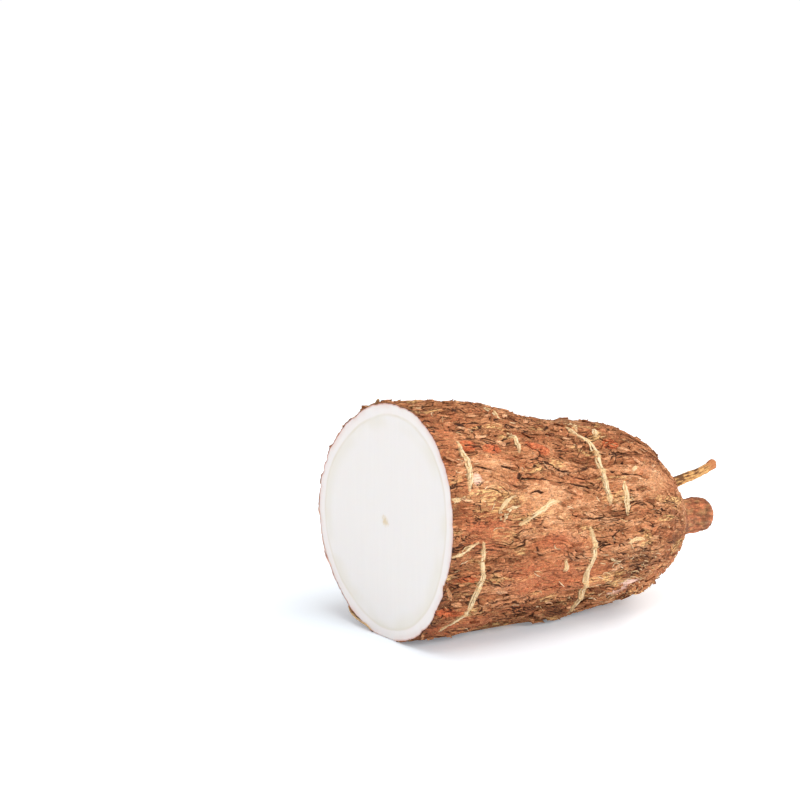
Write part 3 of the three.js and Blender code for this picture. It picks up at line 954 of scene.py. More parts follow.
@dataclass(frozen=True)
class CorkFinish:
    """Pale dry cork of the scars' strands, the threads and the torn edges."""

    pale: Colour = (252, 230, 188)
    tan: Colour = (236, 200, 146)
    brown: Colour = (168, 116, 74)

    def make(self) -> bpy.types.Material:
        """Cream with tan breaks; the marks' first number says how much brown."""
        finish = Finish("pale_cork", roughness=0.9, gloss=0.2)
        stain, _, tone = finish.attribute("marks")
        fleck = finish.noise(0.6, 1.0, 4.0)
        fine = finish.noise(0.25, 1.0, 2.0)
        colour = (fleck * 0.7 + tone * 0.5 - 0.1).ramp(0.25, 0.7).blend(self.tan, self.pale)
        colour = (stain * fleck.ramp(0.3, 0.6)).blend(colour, self.brown)
        finish.link(colour.shaded(fine * 0.35 + 0.82), "Base Color")
        finish.bump(fine + fleck, 0.15, 0.8)
        return finish.material


@dataclass(frozen=True)
class FleshFinish:
    """Moist white flesh: bright rind, a thin ring, the body inside it and the pith."""

    flesh: Colour = (239, 233, 229)
    rind: Colour = (242, 234, 230)
    ring: Colour = (224, 213, 196)
    edge: Colour = (224, 168, 152)
    pith: Colour = (222, 196, 150)
    shade: Colour = (230, 222, 206)

    def make(self) -> bpy.types.Material:
        """Rings by the distance from the rim in the ring attribute, with faint streaks of the knife."""
        finish = Finish("white_flesh", roughness=0.5, subsurface=0.25, reach=0.0018, gloss=0.45)
        even, middle, inset = finish.attribute("ring")
        wander = (finish.noise(9.0, 1.0, 1.0) - 0.5) * 1.1
        depth = even + wander * 0.7
        inner = depth.ramp(3.0, 3.8)
        colour = inner.blend(self.rind, self.flesh)
        band = depth.ramp(2.8, 3.4) * (1 - depth.ramp(3.4, 4.3))
        colour = (band * (finish.noise(11.0, 1.0, 1.0) + 0.15) * 0.8).blend(colour, self.ring)
        halo = inner * (1 - depth.ramp(3.9, 9.5)) * finish.noise(14.0, 1.0, 1.0).ramp(0.4, 0.62)
        colour = (halo * 0.5).blend(colour, self.shade)
        blush = (1 - inset.ramp(0.2, 2.4)) * finish.noise(8.0, 1.0, 2.0).ramp(0.3, 0.7)
        colour = (blush * 0.34).blend(colour, self.edge)
        rim = 1 - (inset + wander * 0.35).ramp(0.05, 0.6)
        colour = (rim * 0.8).blend(colour, self.edge)
        star = middle + (finish.noise(0.9, 1.0, 3.0) - 0.5) * 2.4
        colour = ((1 - star.ramp(0.5, 1.9)) * 0.75).blend(colour, self.pith)
        streak = finish.noise(1.0, 1.0, 3.0, self.drawn(finish))
        finish.link(colour.shaded(streak * 0.04 + 0.975), "Base Color")
        finish.bump(streak * 0.7 + band * -0.6 + finish.noise(0.5, 1.0, 2.0) * 0.25, 0.09, 0.6)
        return finish.material

    def drawn(self, finish: Finish) -> Tie:
        """Object coordinates squeezed so that noise is drawn out up and down the cut."""
        return finish.place.node("ShaderNodeMapping", inputs={"Vector": finish.place, "Scale": (1, 1, 0.05)})

@dataclass(frozen=True)
class OnRoot:
    """Something built on the root, whose form and bark it reads."""

    skin: BarkSkin = BarkSkin()

    @property
    def form(self) -> RootForm:
        """The root's form."""
        return self.skin.form


@dataclass(frozen=True)
class BarkSectors(OnRoot):
    """The bark as four solid slices that meet along the centre line, so that each stays a modest mesh."""

    columns: int = 200
    step: float = 0.33
    cap_rows: int = 9
    # Two rings tucked in behind the cut's edge: distance from the cut and depth under the surface.
    tucked: tuple[tuple[float, float], ...] = ((1.2, 1.4), (0.04, 0.75))
    # Each slice's name, and where it starts in degrees round the root.
    starts: tuple[tuple[str, float], ...] = (
        ("bark_upper_front", 100),
        ("bark_lower_front", 190),
        ("bark_lower_back", 280),
        ("bark_upper_back", 10),
    )

    def rows(self) -> tuple[Array, Array, Array]:
        """The rings: distance from the cut, share of the radius, and extra depth under the surface."""
        length = self.form.length
        tucked_x, tucked_depth = np.array(self.tucked).T
        body = np.linspace(0, length, round(length / self.step) + 1)
        cap = np.linspace(1, 0.04, self.cap_rows + 1)[1:]
        x = np.concatenate([tucked_x, body, np.full(self.cap_rows, length)])
        share = np.concatenate([np.ones(len(tucked_x) + len(body)), cap])
        depth = np.concatenate([tucked_depth, np.zeros(len(body) + self.cap_rows)])
        return x, share, depth

    def slice_shape(self, start: float) -> Shape:
        """One slice: the outer grid, a wall down to the centre line at each side, and a fan at each end.

        The broken end is a low dome roughened by noise that is read across it, and its dark gashes too.
        """
        form = self.form
        x, share, depth = self.rows()
        angle = math.radians(start) + np.linspace(0, FULL_TURN / len(self.starts), self.columns + 1)
        count, wide, rim = len(x), self.columns + 1, len(self.tucked)
        grid_x, grid_angle = np.broadcast_arrays(x[:, None], angle[None, :])
        share, depth = share[:, None], depth[:, None]
        survey = self.skin.survey(grid_x, grid_angle)
        radius = (form.plain_radius(grid_x, grid_angle) + survey.out) * share - depth
        radius[:rim] = radius[rim] - depth[:rim]
        end_y, end_z = radius * np.cos(grid_angle), radius * np.sin(grid_angle)
        on_end = 1 - share**4
        broken = noise(end_y / 1.7 + 9, end_z / 1.7, 0.0) - 0.6
        dome = 0.5 * (1 - share**2) + 1.6 * broken * on_end
        gash = 0.5 * smoothstep(0.5, 0.8, noise(end_y / 0.9 + 4, end_z / 0.9, 2.0))
        survey.crack_and_shade = survey.crack_and_shade * (1 - on_end) + gash * on_end
        points = form.place(grid_x + np.minimum(dome, 0.2), grid_angle, radius, survey.bed * (depth == 0))
        axis = form.place(x, np.zeros(count), np.zeros(count))

        first = np.arange(count) * wide
        last = first + self.columns
        centre = count * wide + np.arange(count)
        start_wall = np.stack([first[:-1], first[1:], centre[1:], centre[:-1]], -1)
        end_wall = np.stack([last[1:], last[:-1], centre[:-1], centre[1:]], -1)
        across = np.arange(self.columns)
        tip = first[-1] + across
        ends = [fan(centre[0], across + 1, across), fan(centre[-1], tip, tip + 1)]
        sharp = np.zeros(count * wide + count, np.int32)
        sharp[first[rim] : last[rim]] = 4
        sharp[first], sharp[last], sharp[centre] = 1, 2, 3
        no_marks = np.zeros((count, 3))
        marks = {name: np.concatenate([part, no_marks]) for name, part in marks_of(survey).items()}
        faces = [grid_faces(count, wide), start_wall, end_wall, *ends]
        return Shape(np.concatenate([points.reshape(-1, 3), axis]), faces, marks, sharp)


@dataclass(frozen=True)
class CutFace(OnRoot):
    """The knife's cut: a thin slab of flesh whose front is the flat face."""

    columns: int = 480
    edge: float = 0.42
    thick: float = 2.4
    deep: float = 30.0
    insets: tuple[float, ...] = (
        *(0, 0.25, 0.5, 0.8, 1.2, 1.8, 2.4, 2.7, 2.9, 3.1),
        *(3.3, 3.6, 4.2, 5.5, 8, 12, 17, 23, 29, 33),
    )

    def shape(self) -> Shape:
        """Rings drawn in from the rim at fixed insets, closed at the middle and with a slab's back.

        The ring mark holds the inset from the smooth rim, the distance from the pith, and the inset from the
        torn rim.
        """
        form = self.form
        angle = np.linspace(0, FULL_TURN, self.columns, endpoint=False)
        rim_x = np.zeros(self.columns)
        smooth_rim = form.plain_radius(rim_x, angle)
        torn = form.grain(rim_x, angle, 0.8, 2, 6)
        notch = 0.55 * smoothstep(0.74, 0.86, torn) - 0.45 * smoothstep(0.24, 0.12, 1 - torn)
        uneven = smooth_rim + 0.25 * form.broad_relief(rim_x, angle)
        ragged = uneven + 0.1 - self.edge + 0.3 * (torn - 0.5) - notch
        rim = np.minimum(self.skin.ground(rim_x, angle) - 0.16, ragged)
        inset = np.array(self.insets)[:, None]
        radius = rim[None, :] * np.maximum(1 - inset / rim[None, :], 0.02)
        front = form.place(np.zeros(radius.shape), angle[None, :], radius, 0.2)
        rear = form.place(np.full(self.columns, self.thick), angle, rim - 0.9, 0.3)
        middle = form.place(np.array([0.0, self.thick]), np.zeros(2), np.zeros(2))
        points = np.concatenate([front.reshape(-1, 3), rear, middle])

        rows = len(self.insets)
        top = np.arange(rows * self.columns).reshape(rows, self.columns)
        back = rows * self.columns + np.arange(self.columns)
        hub = back[-1] + 1
        faces = [
            grid_faces(rows, self.columns, wrap=True)[:, ::-1],
            np.stack([top[0], np.roll(top[0], -1), np.roll(back, -1), back], -1),
            fan(hub, np.roll(top[-1], -1), top[-1]),
            fan(hub + 1, back, np.roll(back, -1)),
        ]
        y = points[:, 1] / MM - form.axis_y + 0.4
        z = points[:, 2] / MM - form.along(np.array(0.0), 2) - 0.3
        rest = np.concatenate([np.full(self.columns, 2.0), [self.deep, self.deep]])
        even = np.concatenate([(smooth_rim - self.edge - radius).ravel(), rest])
        true = np.concatenate([np.broadcast_to(inset, radius.shape).ravel(), rest])
        ring = np.stack([even, np.hypot(y / 1.3, z / 1.3), true], -1)
        sharp = np.zeros(len(points), np.int32)
        sharp[: self.columns] = 1
        return Shape(points, faces, {"ring": ring}, sharp)


def tubes(centres: Array, angle: Array, half_wide: Array, half_high: Array, sides: int) -> Shape:
    """Closed tubes, all with the same numbers of rings and sides.

    Each ring is an ellipse across the run of its centres, half_wide to the side and half_high outward, and a
    point closes each end.

    Args:
        centres: points in metres, of shape (tubes, rings, 3).
        angle: where each lies round the root, of shape (tubes, rings), which says which way is outward.
        half_wide: half widths in millimetres, of the same shape.
        half_high: half heights in millimetres, of the same shape.
        sides: points round each ring.

    Returns:
        The shape, without marks.
    """
    count, rings, _ = centres.shape
    outward = np.stack([np.zeros(angle.shape), np.cos(angle), np.sin(angle)], -1)
    side = np.cross(np.gradient(centres, axis=1), outward)
    side /= np.maximum(np.linalg.norm(side, axis=-1, keepdims=True), NEARLY_NOTHING)
    turn = np.arange(sides) / sides * FULL_TURN
    wide = ((half_wide * MM)[..., None] * np.cos(turn))[..., None] * side[:, :, None, :]
    high = ((half_high * MM)[..., None] * np.sin(turn))[..., None] * outward[:, :, None, :]
    skin = (centres[:, :, None, :] + wide + high).reshape(count, rings * sides, 3)
    points = np.concatenate([skin, centres[:, :1], centres[:, -1:]], axis=1)
    around = np.arange(sides)
    beside = (around + 1) % sides
    last = (rings - 1) * sides
    ends = (fan(rings * sides, beside, around), fan(rings * sides + 1, last + around, last + beside))
    shift = (np.arange(count) * points.shape[1])[:, None, None]
    parts = (grid_faces(rings, sides, wrap=True), *ends)
    faces = [(part[None] + shift).reshape(-1, part.shape[1]) for part in parts]
    return Shape(points.reshape(-1, 3), faces)


@dataclass(frozen=True)
class ScarStrands(OnRoot):
    """The corky strands that lie along each scar, parting and meeting again, and hairs that leave them."""

    rings: int = 32
    sides: int = 6
    seed: int = 11
    half: float = 0.28
    stain: float = 0.3
    hair_gap: float = 3.2
    settling: int = 7

    def shape(self) -> Shape:
        """Strands side by side across each scar's width, swung by slow waves, thick and thin by chance."""
        form = self.form
        chance = np.random.default_rng(self.seed)
        t = np.linspace(0, 1, self.rings)
        xs, angles, halves, tones = [], [], [], []
        for scar in SCARS:
            path = curve_through(np.array(scar.path, float), self.rings)
            x, angle = path[:, 0], np.radians(path[:, 1])
            radius = form.along(x, 1)
            run_x, run_s = np.gradient(x), np.gradient(angle) * radius
            size = np.hypot(run_x, run_s)
            for k in range(scar.strands):
                lane = k / (scar.strands - 1) - 0.5
                phase = chance.uniform(0, FULL_TURN, 3)
                swing = 0.22 * np.sin(t * 7 + phase[0]) + 0.12 * np.sin(t * 19 + phase[1])
                offset = scar.width * 0.8 * (lane + swing * 0.5) * (0.55 + 0.45 * np.sin(np.pi * t))
                first = chance.uniform(0, 0.12)
                last = 1 - chance.uniform(0, 0.15)
                body = smoothstep(first, first + 0.1, t) * (1 - smoothstep(last - 0.12, last, t))
                lumpy = 0.8 + 0.2 * np.sin(t * 31 + phase[2]) + 0.4 * chance.uniform(-1, 1, self.rings)
                xs.append(x - offset * run_s / size)
                angles.append(angle + offset * run_x / size / radius)
                halves.append(np.maximum(self.half * lumpy * body, 0.04))
                tones.append(np.full(self.rings, chance.uniform(0.2, 1)))
            for _ in range(round(size.sum() / self.hair_gap)):
                middle, reach = chance.uniform(0.08, 0.92), chance.uniform(0.6, 1.5)
                span = reach * chance.uniform(0.8, 1.8) / size.sum() * chance.choice([-1, 1])
                at = np.clip(middle + span * t, 0, 1)
                offset = scar.width * 0.25 * chance.uniform(-1, 1) + reach * t**1.6 * chance.choice([-1, 1])
                xs.append(np.interp(at, t, x) - offset * np.interp(at, t, run_s / size))
                angles.append(np.interp(at, t, angle) + offset * np.interp(at, t, run_x / size / radius))
                halves.append(0.13 * (1 - 0.7 * t) + 0.02)
                tones.append(np.full(self.rings, chance.uniform(0.0, 0.8)))
        x, angle, half = np.array(xs), np.array(angles), np.array(halves)
        ground = self.skin.ground(x, angle)
        window = np.ones(self.settling) / self.settling
        padded = np.pad(ground, ((0, 0), (self.settling // 2,) * 2), "edge")
        mean = np.stack([np.convolve(row, window, "valid") for row in padded])
        centres = form.place(x, angle, 0.5 * ground + 0.5 * mean + 0.06, 0.35)
        shape = tubes(centres, angle, half * 1.1, half * 0.65, self.sides)
        tone = with_ends(np.repeat(np.array(tones), self.sides, axis=1)).ravel()
        shape.marks["marks"] = np.stack([np.full(tone.shape, self.stain), np.zeros(tone.shape), tone], -1)
        return shape


@dataclass(frozen=True)
class Flakes(OnRoot):
    """Loose curled flakes of bark, thin closed shells that lift from the surface at one edge.

    A pair of numbers is the least and the most. Lengths are in millimetres.
    """

    count: int = 1500
    rows: int = 7
    columns: int = 4
    seed: int = 5
    span: tuple[float, float] = (1.5, 112)
    long: tuple[float, float] = (1.8, 5.6)
    wide: tuple[float, float] = (0.5, 1.35)
    side_curl: tuple[float, float] = (0.1, 0.75)
    end_curl: tuple[float, float] = (0.0, 0.7)
    thick: float = 0.2
    least_height: float = 1.6
    # How dark the undersides are painted, as painted shade under each flake.
    painted_shade_below: float = 0.45

    def shape(self) -> Shape:
        """Each flake is a narrow leaf: a grid from -1 to 1 both ways, with jagged sides and a curl."""
        form = self.form
        chance = np.random.default_rng(self.seed)
        x0 = chance.uniform(*self.span, self.count)
        angle0 = chance.uniform(0, FULL_TURN, self.count)
        spot = self.skin.survey(x0, angle0)
        clear = (form.height(x0, angle0) > self.least_height) & (spot.peel < 0.2) & (spot.cork < 0.3)
        wanted = chance.uniform(0, 1, self.count) < np.where(spot.red > 0.35, 0.2, 1.0)
        x0, angle0 = (part[clear & wanted][:, None, None] for part in (x0, angle0))
        n = len(x0)
        each = (n, 1, 1)
        size = np.minimum(form.along(x0, 1) / 30, 1)
        long = chance.uniform(*self.long, each) * (0.5 + 0.5 * size)
        wide = chance.uniform(*self.wide, each) * size
        turn = chance.normal(0, 0.22, each)
        a = np.linspace(-1, 1, self.rows)[None, :, None]
        b = np.linspace(-1, 1, self.columns)[None, None, :]
        jag = chance.uniform(-0.3, 0.3, (n, self.rows, 1)) * (1 - a**4)
        narrow = (1 - 0.75 * np.abs(a) ** 2.2) * (1 + jag)
        u = long / 2 * (a + chance.uniform(-0.12, 0.12, (n, 1, self.columns)))
        v = wide / 2 * b * narrow + 0.3 * wide * jag
        x = np.clip(x0 + u * np.cos(turn) - v * np.sin(turn), CLEAR_OF_CUT, form.length)
        angle = angle0 + (u * np.sin(turn) + v * np.cos(turn)) / form.along(x0, 1)
        side = chance.choice([-1, 1], each, p=[0.5, 0.5])
        side_curl = chance.uniform(*self.side_curl, each)
        end_curl = chance.uniform(*self.end_curl, each) * chance.choice([0, 1], each)
        lifted = side_curl * np.clip(b * side * 0.6 + 0.4, 0, 1) ** 2 + end_curl * np.clip(a, 0, 1) ** 2
        lifted = lifted * size
        survey = self.skin.survey(x, angle)
        plain = form.plain_radius(x, angle)
        ground = plain + survey.out
        tilt = plain - form.plain_radius(x0, angle0)
        level = ground.mean(axis=(1, 2), keepdims=True) + tilt - tilt.mean(axis=(1, 2), keepdims=True)
        low_radius = 0.35 * ground + 0.65 * level
        top = form.place(x, angle, low_radius + 0.02 + self.thick + lifted, 0.3)
        low = form.place(x, angle, low_radius + 0.02 + lifted * 0.95, 0.1)

        per = self.rows * self.columns
        points = np.concatenate([top.reshape(n, per, 3), low.reshape(n, per, 3)], axis=1)
        grid = grid_faces(self.rows, self.columns)
        index = np.arange(per).reshape(self.rows, self.columns)
        loop = np.concatenate([index[0], index[1:, -1], index[-1, -2::-1], index[-2:0:-1, 0]])
        beside = np.roll(loop, -1)
        wall = np.stack([loop, beside, beside + per, loop + per], -1)[:, ::-1]
        shift = (np.arange(n) * 2 * per)[:, None, None]
        faces = [(part[None] + shift).reshape(-1, 4) for part in (grid, grid[:, ::-1] + per, wall)]
        tone = np.repeat(np.clip(chance.normal(0.44, 0.24, n), 0, 1), 2 * per)
        # The undersides are painted dark through the cracks' mark, as painted shade.
        dark = np.tile(np.repeat([0.0, self.painted_shade_below], per), n)
        none = np.zeros(dark.shape)

        def both(part: Array) -> Array:
            """The same values for a flake's top and its underside."""
            return np.tile(part.reshape(n, per), 2).ravel()

        marks = {
            "marks": np.stack([dark, none, tone], -1),
            "zones": np.stack([both(survey.red), both(survey.grey), both(survey.straw)], -1),
            "spots": np.stack([none, both(survey.orange), both(survey.tail)], -1),
        }
        return Shape(points.reshape(-1, 3), faces, marks)


@dataclass(frozen=True)
class Threads(OnRoot):
    """Fine pale fibres that cling to the bark, nearly half of them low at the tail end.

    A pair of numbers is the least and the most, in millimetres or degrees.
    """

    count: int = 380
    rings: int = 9
    sides: int = 5
    seed: int = 23
    low_share: float = 0.45
    low_span: tuple[float, float] = (60, 112)
    low_degrees: tuple[float, float] = (195, 250)
    span: tuple[float, float] = (3, 112)
    long: tuple[float, float] = (1.0, 3.2)
    half: tuple[float, float] = (0.09, 0.18)
    least_height: float = 2.5

    def shape(self) -> Shape:
        """Short curved tubes: a straight run bent by an arc, touching the bark in the middle."""
        form = self.form
        chance = np.random.default_rng(self.seed)
        n = self.count
        low = chance.uniform(0, 1, n) < self.low_share
        x0 = np.where(low, chance.uniform(*self.low_span, n), chance.uniform(*self.span, n))
        low_angle = chance.uniform(*(math.radians(limit) for limit in self.low_degrees), n)
        angle0 = np.where(low, low_angle, chance.uniform(0, FULL_TURN, n))
        keep = form.height(x0, angle0) > self.least_height
        x0, angle0 = x0[keep][:, None], angle0[keep][:, None]
        each = x0.shape
        t = np.linspace(-1, 1, self.rings)[None, :]
        long = chance.uniform(*self.long, each)
        heading = chance.normal(0, 0.6, each)
        bend = chance.normal(0, 0.6, each)
        u = long / 2 * (t * np.cos(heading) - bend * (t**2 - 0.5) * 0.4 * np.sin(heading))
        v = long / 2 * (t * np.sin(heading) + bend * (t**2 - 0.5) * 0.4 * np.cos(heading))
        x = np.clip(x0 + u, CLEAR_OF_CUT, form.length - 1)
        angle = angle0 + v / form.along(x0, 1)
        rise = chance.uniform(0.0, 0.4, each) * np.clip(t, 0, 1) ** 2
        centres = form.place(x, angle, self.skin.ground(x, angle) + 0.08 + rise, 0.3)
        half = chance.uniform(*self.half, each) * (1 - 0.7 * t**4)
        shape = tubes(centres, angle, half, half, self.sides)
        per = self.rings * self.sides + 2
        tone, stain = (np.repeat(chance.uniform(0, most, len(x0)), per) for most in (1, 0.9))
        shape.marks["marks"] = np.stack([stain, np.zeros(tone.shape), tone], -1)
        return shape


@dataclass(frozen=True)
class RimSlips(OnRoot):
    """Slips of torn skin at the cut's edge: brown outside, pale within, curling away from the root.

    The first is white, a scrap of the peel's inner side.
    """

    # Angle, reach, spread in degrees, distance from the cut, width and thickness.
    slips: tuple[tuple[float, float, float, float, float, float], ...] = (
        (-35, 1.9, 11, 0.0, 1.0, 0.5), (-86, 1.5, 31, 0.0, 1.5, 1.5), (-74, 1.2, 17, 0.5, 1.4, 1.0),
        (52, 1.6, 8, 1.5, 2.0, 0.7), (74, 1.4, 6, 1.1, 2.0, 0.7), (203, 1.4, 7, 1.4, 1.6, 0.6),
        (100, 1.5, 8, 1.8, 2.0, 0.7), (-84, 0.9, 12, 0.6, 1.4, 0.5), (-46, 1.0, 6, 0.5, 1.2, 0.4),
        (2, 1.0, 4, 0.5, 1.0, 0.4), (20, 0.9, 5, 0.6, 1.1, 0.4), (120, 0.8, 5, 0.5, 1.0, 0.4),
        (236, 0.9, 6, 0.6, 1.2, 0.4),
    )
    rings: int = 14
    sides: int = 10

    def shape(self) -> Shape:
        """Flattened tubes that start under the bark and leave it by the square of the way along."""
        table = np.array(self.slips)
        degrees, reach, turn, start, wide, thick = (table[:, k, None] for k in range(6))
        t = np.linspace(0, 1, self.rings)[None, :]
        angle = np.radians(degrees + turn * t)
        x = start + wide / 2 + 0.35 * np.sin(t * 5 + degrees)
        radius = self.skin.ground(x, angle) + reach * t**2 - 1.2 * (1 - t) ** 2
        ragged = 1 + 0.22 * np.sin(t * 17 + degrees) * t
        half_wide = wide / 2 * (1 - 0.75 * t**3) * ragged
        half_high = thick / 2 * (1 - 0.6 * t)
        shape = tubes(self.form.place(x, angle, radius, 0.5), angle, half_wide, half_high, self.sides)
        inner = np.sin(np.arange(self.sides) / self.sides * FULL_TURN) < 0.1
        pale = with_ends(np.tile(inner, (len(table), self.rings))).astype(float)
        white = np.zeros(pale.shape)
        white[0] = 1
        none = np.zeros(pale.size)
        shape.marks = {
            "marks": np.stack([none, (pale * (1 - white)).ravel(), none + 0.6], -1),
            "zones": np.zeros((pale.size, 3)),
            "spots": np.stack([white.ravel(), none, none], -1),
        }
        return shape


@dataclass(frozen=True)
class Rootlet(OnRoot):
    """The thin side root on the shoulder, ridged, tapering and broken off square."""

    route: tuple[Point3, ...] = (
        (104, -8, 33), (108.5, -9.6, 37.2), (113, -10.6, 39.2), (118, -11.4, 40.6), (122.0, -12.1, 42.2),
        (125.3, -12.4, 43.8),
    )
    rings: int = 90
    sides: int = 40
    base: float = 2.1
    tip: float = 1.4
    # The rings of the broken end, as shares of the radius.
    cap: tuple[float, ...] = (0.75, 0.45, 0.15)
    around_scale: float = 1.7

    def shape(self) -> Shape:
        """A smooth curve through the route, with a ridged ring at each step and a sunk, ragged end.

        The run mark holds the distance along, the distance round, and 1 on the broken end.
        """
        line = curve_through(np.array(self.route), self.rings)
        run = np.gradient(line, axis=0)
        length = np.concatenate([[0], np.cumsum(np.linalg.norm(np.diff(line, axis=0), axis=1))])
        run /= np.linalg.norm(run, axis=1, keepdims=True)
        side = np.cross(run, [0.0, 0.0, 1.0])
        side /= np.linalg.norm(side, axis=1, keepdims=True)
        up = np.cross(side, run)
        t = (length / length[-1])[:, None]
        turn = np.arange(self.sides) / self.sides * FULL_TURN
        cos, sin = np.cos(turn), np.sin(turn)
        ridge = 0.12 * np.cos(3 * turn + 4 * t) + 0.05 * np.cos(8 * turn + 9 * t + 1)
        rough = 0.22 * (noise(length[:, None] / 1.1 + 40, cos * 2.4, sin * 2.4) - 0.5)
        bands = 0.12 * (noise(length[:, None] / 0.5 + 10, cos * 1.1, sin * 1.1) - 0.5)
        radius = (self.base + (self.tip - self.base) * np.sqrt(t)) * (1 + ridge + rough + bands)
        radius = radius * (1 + 0.1 * smoothstep(0.86, 0.97, t))
        ring = line[:, None] + radius[..., None] * (cos[:, None] * side[:, None] + sin[:, None] * up[:, None])
        depth = np.array(self.cap)[:, None, None]
        torn = 0.5 * noise(cos * 2 + 7, sin * 2, depth[:, 0] * 3)[..., None] - 0.15
        caps = line[-1] + (ring[-1] - line[-1]) * depth + run[-1] * torn
        ring[-1] += run[-1] * 0.35 * (noise(cos * 3 + 3, sin * 3, 0.0)[:, None] - 0.3)
        hubs = (line[:1], line[-1:] - run[-1] * 0.1)
        points = np.concatenate([ring.reshape(-1, 3), caps.reshape(-1, 3), *hubs])
        points[:, 0] -= self.form.length / 2

        rows = self.rings + len(self.cap)
        around = np.arange(self.sides)
        beside = (around + 1) % self.sides
        last = (rows - 1) * self.sides
        faces = [
            grid_faces(rows, self.sides, wrap=True)[:, ::-1],
            fan(rows * self.sides, around, beside),
            fan(rows * self.sides + 1, last + beside, last + around),
        ]
        on_cap = len(self.cap) * self.sides
        along = np.concatenate([np.repeat(length, self.sides), np.full(on_cap, length[-1]), [0, length[-1]]])
        around_mm = np.concatenate([np.tile(turn * self.around_scale, rows), [0, 0]])
        inside = np.concatenate([np.zeros(self.rings * self.sides), np.ones(on_cap), [0, 1]])
        return Shape(points * MM, faces, {"run": np.stack([along, around_mm, inside], -1)})


@dataclass(frozen=True)
class RootletFinish:
    """Straw-coloured wood with dark scraps of bark left on it."""

    straw: Colour = (222, 172, 108)
    tan: Colour = (176, 120, 70)
    dark: Colour = (92, 56, 34)
    core: Colour = (182, 104, 66)

    def make(self) -> bpy.types.Material:
        """Streaks along the run of the side root, and dark scraps where broad noise is high."""
        finish = Finish("side_root_wood", roughness=0.8, gloss=0.3)
        along, around, inside = finish.attribute("run")
        vector = along.node("ShaderNodeCombineXYZ", inputs={0: along * 0.35, 1: around, 2: inside})
        streak = vector.node("ShaderNodeTexNoise", inputs={"Vector": vector, "Scale": 1.6, "Detail": 4.0})
        scrap = vector.node("ShaderNodeTexNoise", inputs={"Vector": vector, "Scale": 0.9, "Detail": 5.0})
        from_top = around / Rootlet.around_scale - math.pi / 2
        crest = from_top.maths("COSINE", from_top)
        colour = streak.ramp(0.35, 0.62).blend(self.tan, self.straw)
        worn = (scrap + crest * 0.09 + (1 - along / 18.0) * 0.16).ramp(0.54, 0.66)
        colour = (worn * 0.9).blend(colour, self.dark)
        tip = (along.ramp(20.5, 23.5) * (streak + 0.35)).clamped()
        colour = (tip * 0.8).blend(colour, self.core)
        colour = (inside * 0.8).blend(colour, self.core)
        finish.link(colour.shaded(finish.noise(0.4, 1.0, 2.0) * 0.4 + 0.8), "Base Color")
        finish.bump(streak + worn * 0.6, 0.25, 0.8)
        return finish.material


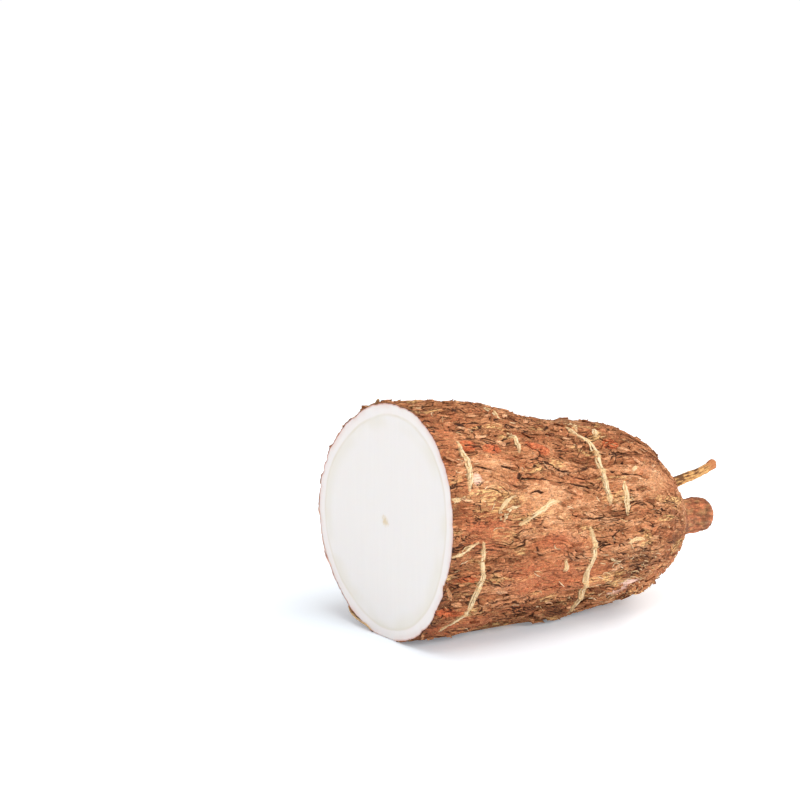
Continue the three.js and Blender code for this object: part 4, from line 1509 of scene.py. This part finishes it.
@dataclass(frozen=True)
class Studio:
    """The white sweep, the soft lights and the camera."""

    azimuth: float = -34.0
    elevation: float = 9.0
    distance: float = 0.64
    target: Point3 = (-0.05643, 0.00559, 0.07306)
    field_of_view: float = 22.0
    # Name, place, size in metres, power in watts.
    lamps: tuple[tuple[str, Point3, float, float], ...] = (
        ("top_softbox", (-0.10, -0.20, 0.95), 0.6, 4.0),
        ("front_softbox", (0.35, -0.95, 0.55), 0.45, 5.6),
        ("cut_softbox", (-0.90, -0.60, 0.50), 0.5, 0.9),
    )
    aim: Point3 = (-0.02, 0.0, 0.03)
    surround: float = 0.62
    surround_seen: float = 1.02
    floor_half: float = 6.0
    # Bluish, a painted counter to the pink light that the bark bounces onto the floor.
    floor_colour: tuple[float, float, float, float] = (0.87, 0.91, 0.95, 1)
    # The floor's glow, painted light: faint beside the root, where its shadow stays, and strong away from it.
    glow_near: tuple[float, float, float, float] = (0.16, 0.188, 0.21, 1)
    glow_far: tuple[float, float, float, float] = (0.5, 0.5, 0.5, 1)
    shadow_centre: Point3 = (-0.030, -0.012, 0.0)
    right_way: Point3 = (0.829, -0.559, 0.0)

    def floor(self) -> bpy.types.Object:
        """A wide flat white floor that fades into the white surround away from the root, with a painted light
        glow that is faint beside the root and strong away from it and on the root's right.
        """
        corners = ((-1, -1, 0), (1, -1, 0), (1, 1, 0), (-1, 1, 0))
        points = np.array(corners) * self.floor_half
        finish = Finish("studio_white", roughness=0.4, gloss=0.2)
        finish.shader.inputs["Base Color"].default_value = self.floor_colour
        finish.shader.inputs["Emission Strength"].default_value = 1.0
        place = finish.place
        far, side = (
            place.node("ShaderNodeVectorMath", {"operation": operation}, {0: place, 1: other}, "Value")
            for operation, other in (("DISTANCE", self.shadow_centre), ("DOT_PRODUCT", self.right_way))
        )
        # Painted light: the glow grows away from the shadow's centre and on the root's right, clearing the
        # shadow under the tail.
        lit = far.ramp(0.065, 0.11) * 0.45 + far.ramp(0.12, 0.6) * 0.55 + side.ramp(0.016, 0.036) * 0.9
        lit = lit.clamped()
        finish.link(lit.blend(self.glow_near, self.glow_far), "Emission Color")
        return Shape(points, [np.array([[0, 1, 2, 3]])]).build("studio_floor", finish.material)

    def light(self) -> None:
        """Square softboxes aimed at the root, and an even white surround."""
        for name, place, size, power in self.lamps:
            lamp = bpy.data.lights.new(name, "AREA")
            lamp.energy = power
            lamp.size = size
            item = bpy.data.objects.new(name, lamp)
            item.location = place
            item.rotation_euler = (Vector(self.aim) - Vector(place)).to_track_quat("-Z", "Y").to_euler()
            bpy.context.scene.collection.objects.link(item)
        world = bpy.data.worlds.new("studio_surround")
        world.use_nodes = True
        sky = world.node_tree.nodes["Background"]
        sky.inputs["Color"].default_value = (1, 1, 1, 1)
        seen = Tie(world.node_tree, sky.outputs[0]).node("ShaderNodeLightPath")
        strength = seen * (self.surround_seen - self.surround) + self.surround
        world.node_tree.links.new(strength.socket, sky.inputs["Strength"])
        bpy.context.scene.world = world

    def camera(self) -> None:
        """The camera on its ray from the target, at the photograph's viewing angle."""
        azimuth, elevation = math.radians(self.azimuth), math.radians(self.elevation)
        level = math.cos(elevation)
        back = Vector((math.sin(azimuth) * level, -math.cos(azimuth) * level, math.sin(elevation)))
        lens = bpy.data.cameras.new("studio_camera")
        lens.sensor_width = 36.0
        lens.lens = 18.0 / math.tan(math.radians(self.field_of_view / 2))
        item = bpy.data.objects.new("studio_camera", lens)
        item.location = Vector(self.target) + back * self.distance
        item.rotation_euler = back.to_track_quat("Z", "Y").to_euler()
        bpy.context.scene.collection.objects.link(item)
        bpy.context.scene.camera = item
        bpy.context.scene.view_settings.view_transform = "Standard"


def fasten(piece: bpy.types.Object, slot: Slot) -> None:
    """Makes a piece part of the root and reports it."""
    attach(piece, BODY)
    LOG.info("%s: %d faces", piece.name, len(piece.data.polygons))


def main() -> None:
    """Builds the bark, the cut, the scars and the loose bits, then the studio."""
    logging.basicConfig(level=logging.INFO, format="%(message)s")
    bark = BarkFinish().make()
    cork = CorkFinish().make()
    sectors = BarkSectors()
    for name, start in sectors.starts:
        piece = sectors.slice_shape(start).build(name, bark)
        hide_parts(NODE)
        fasten(piece, Slot.BARK)
    others = (
        ("cut_flesh", CutFace(), FleshFinish().make(), Slot.FLESH),
        ("bark_flakes", Flakes(), bark, Slot.BARK),
        ("rim_slips", RimSlips(), bark, Slot.BARK),
        ("side_rootlet", Rootlet(), RootletFinish().make(), Slot.BARK),
        ("cork_strands", ScarStrands(), cork, Slot.CORK),
        ("fine_threads", Threads(), cork, Slot.CORK),
    )
    for name, maker, material, slot in others:
        fasten(maker.shape().build(name, material), slot)
    studio = Studio()
    studio.floor()
    studio.light()
    studio.camera()


if __name__ == "__main__":
    main()
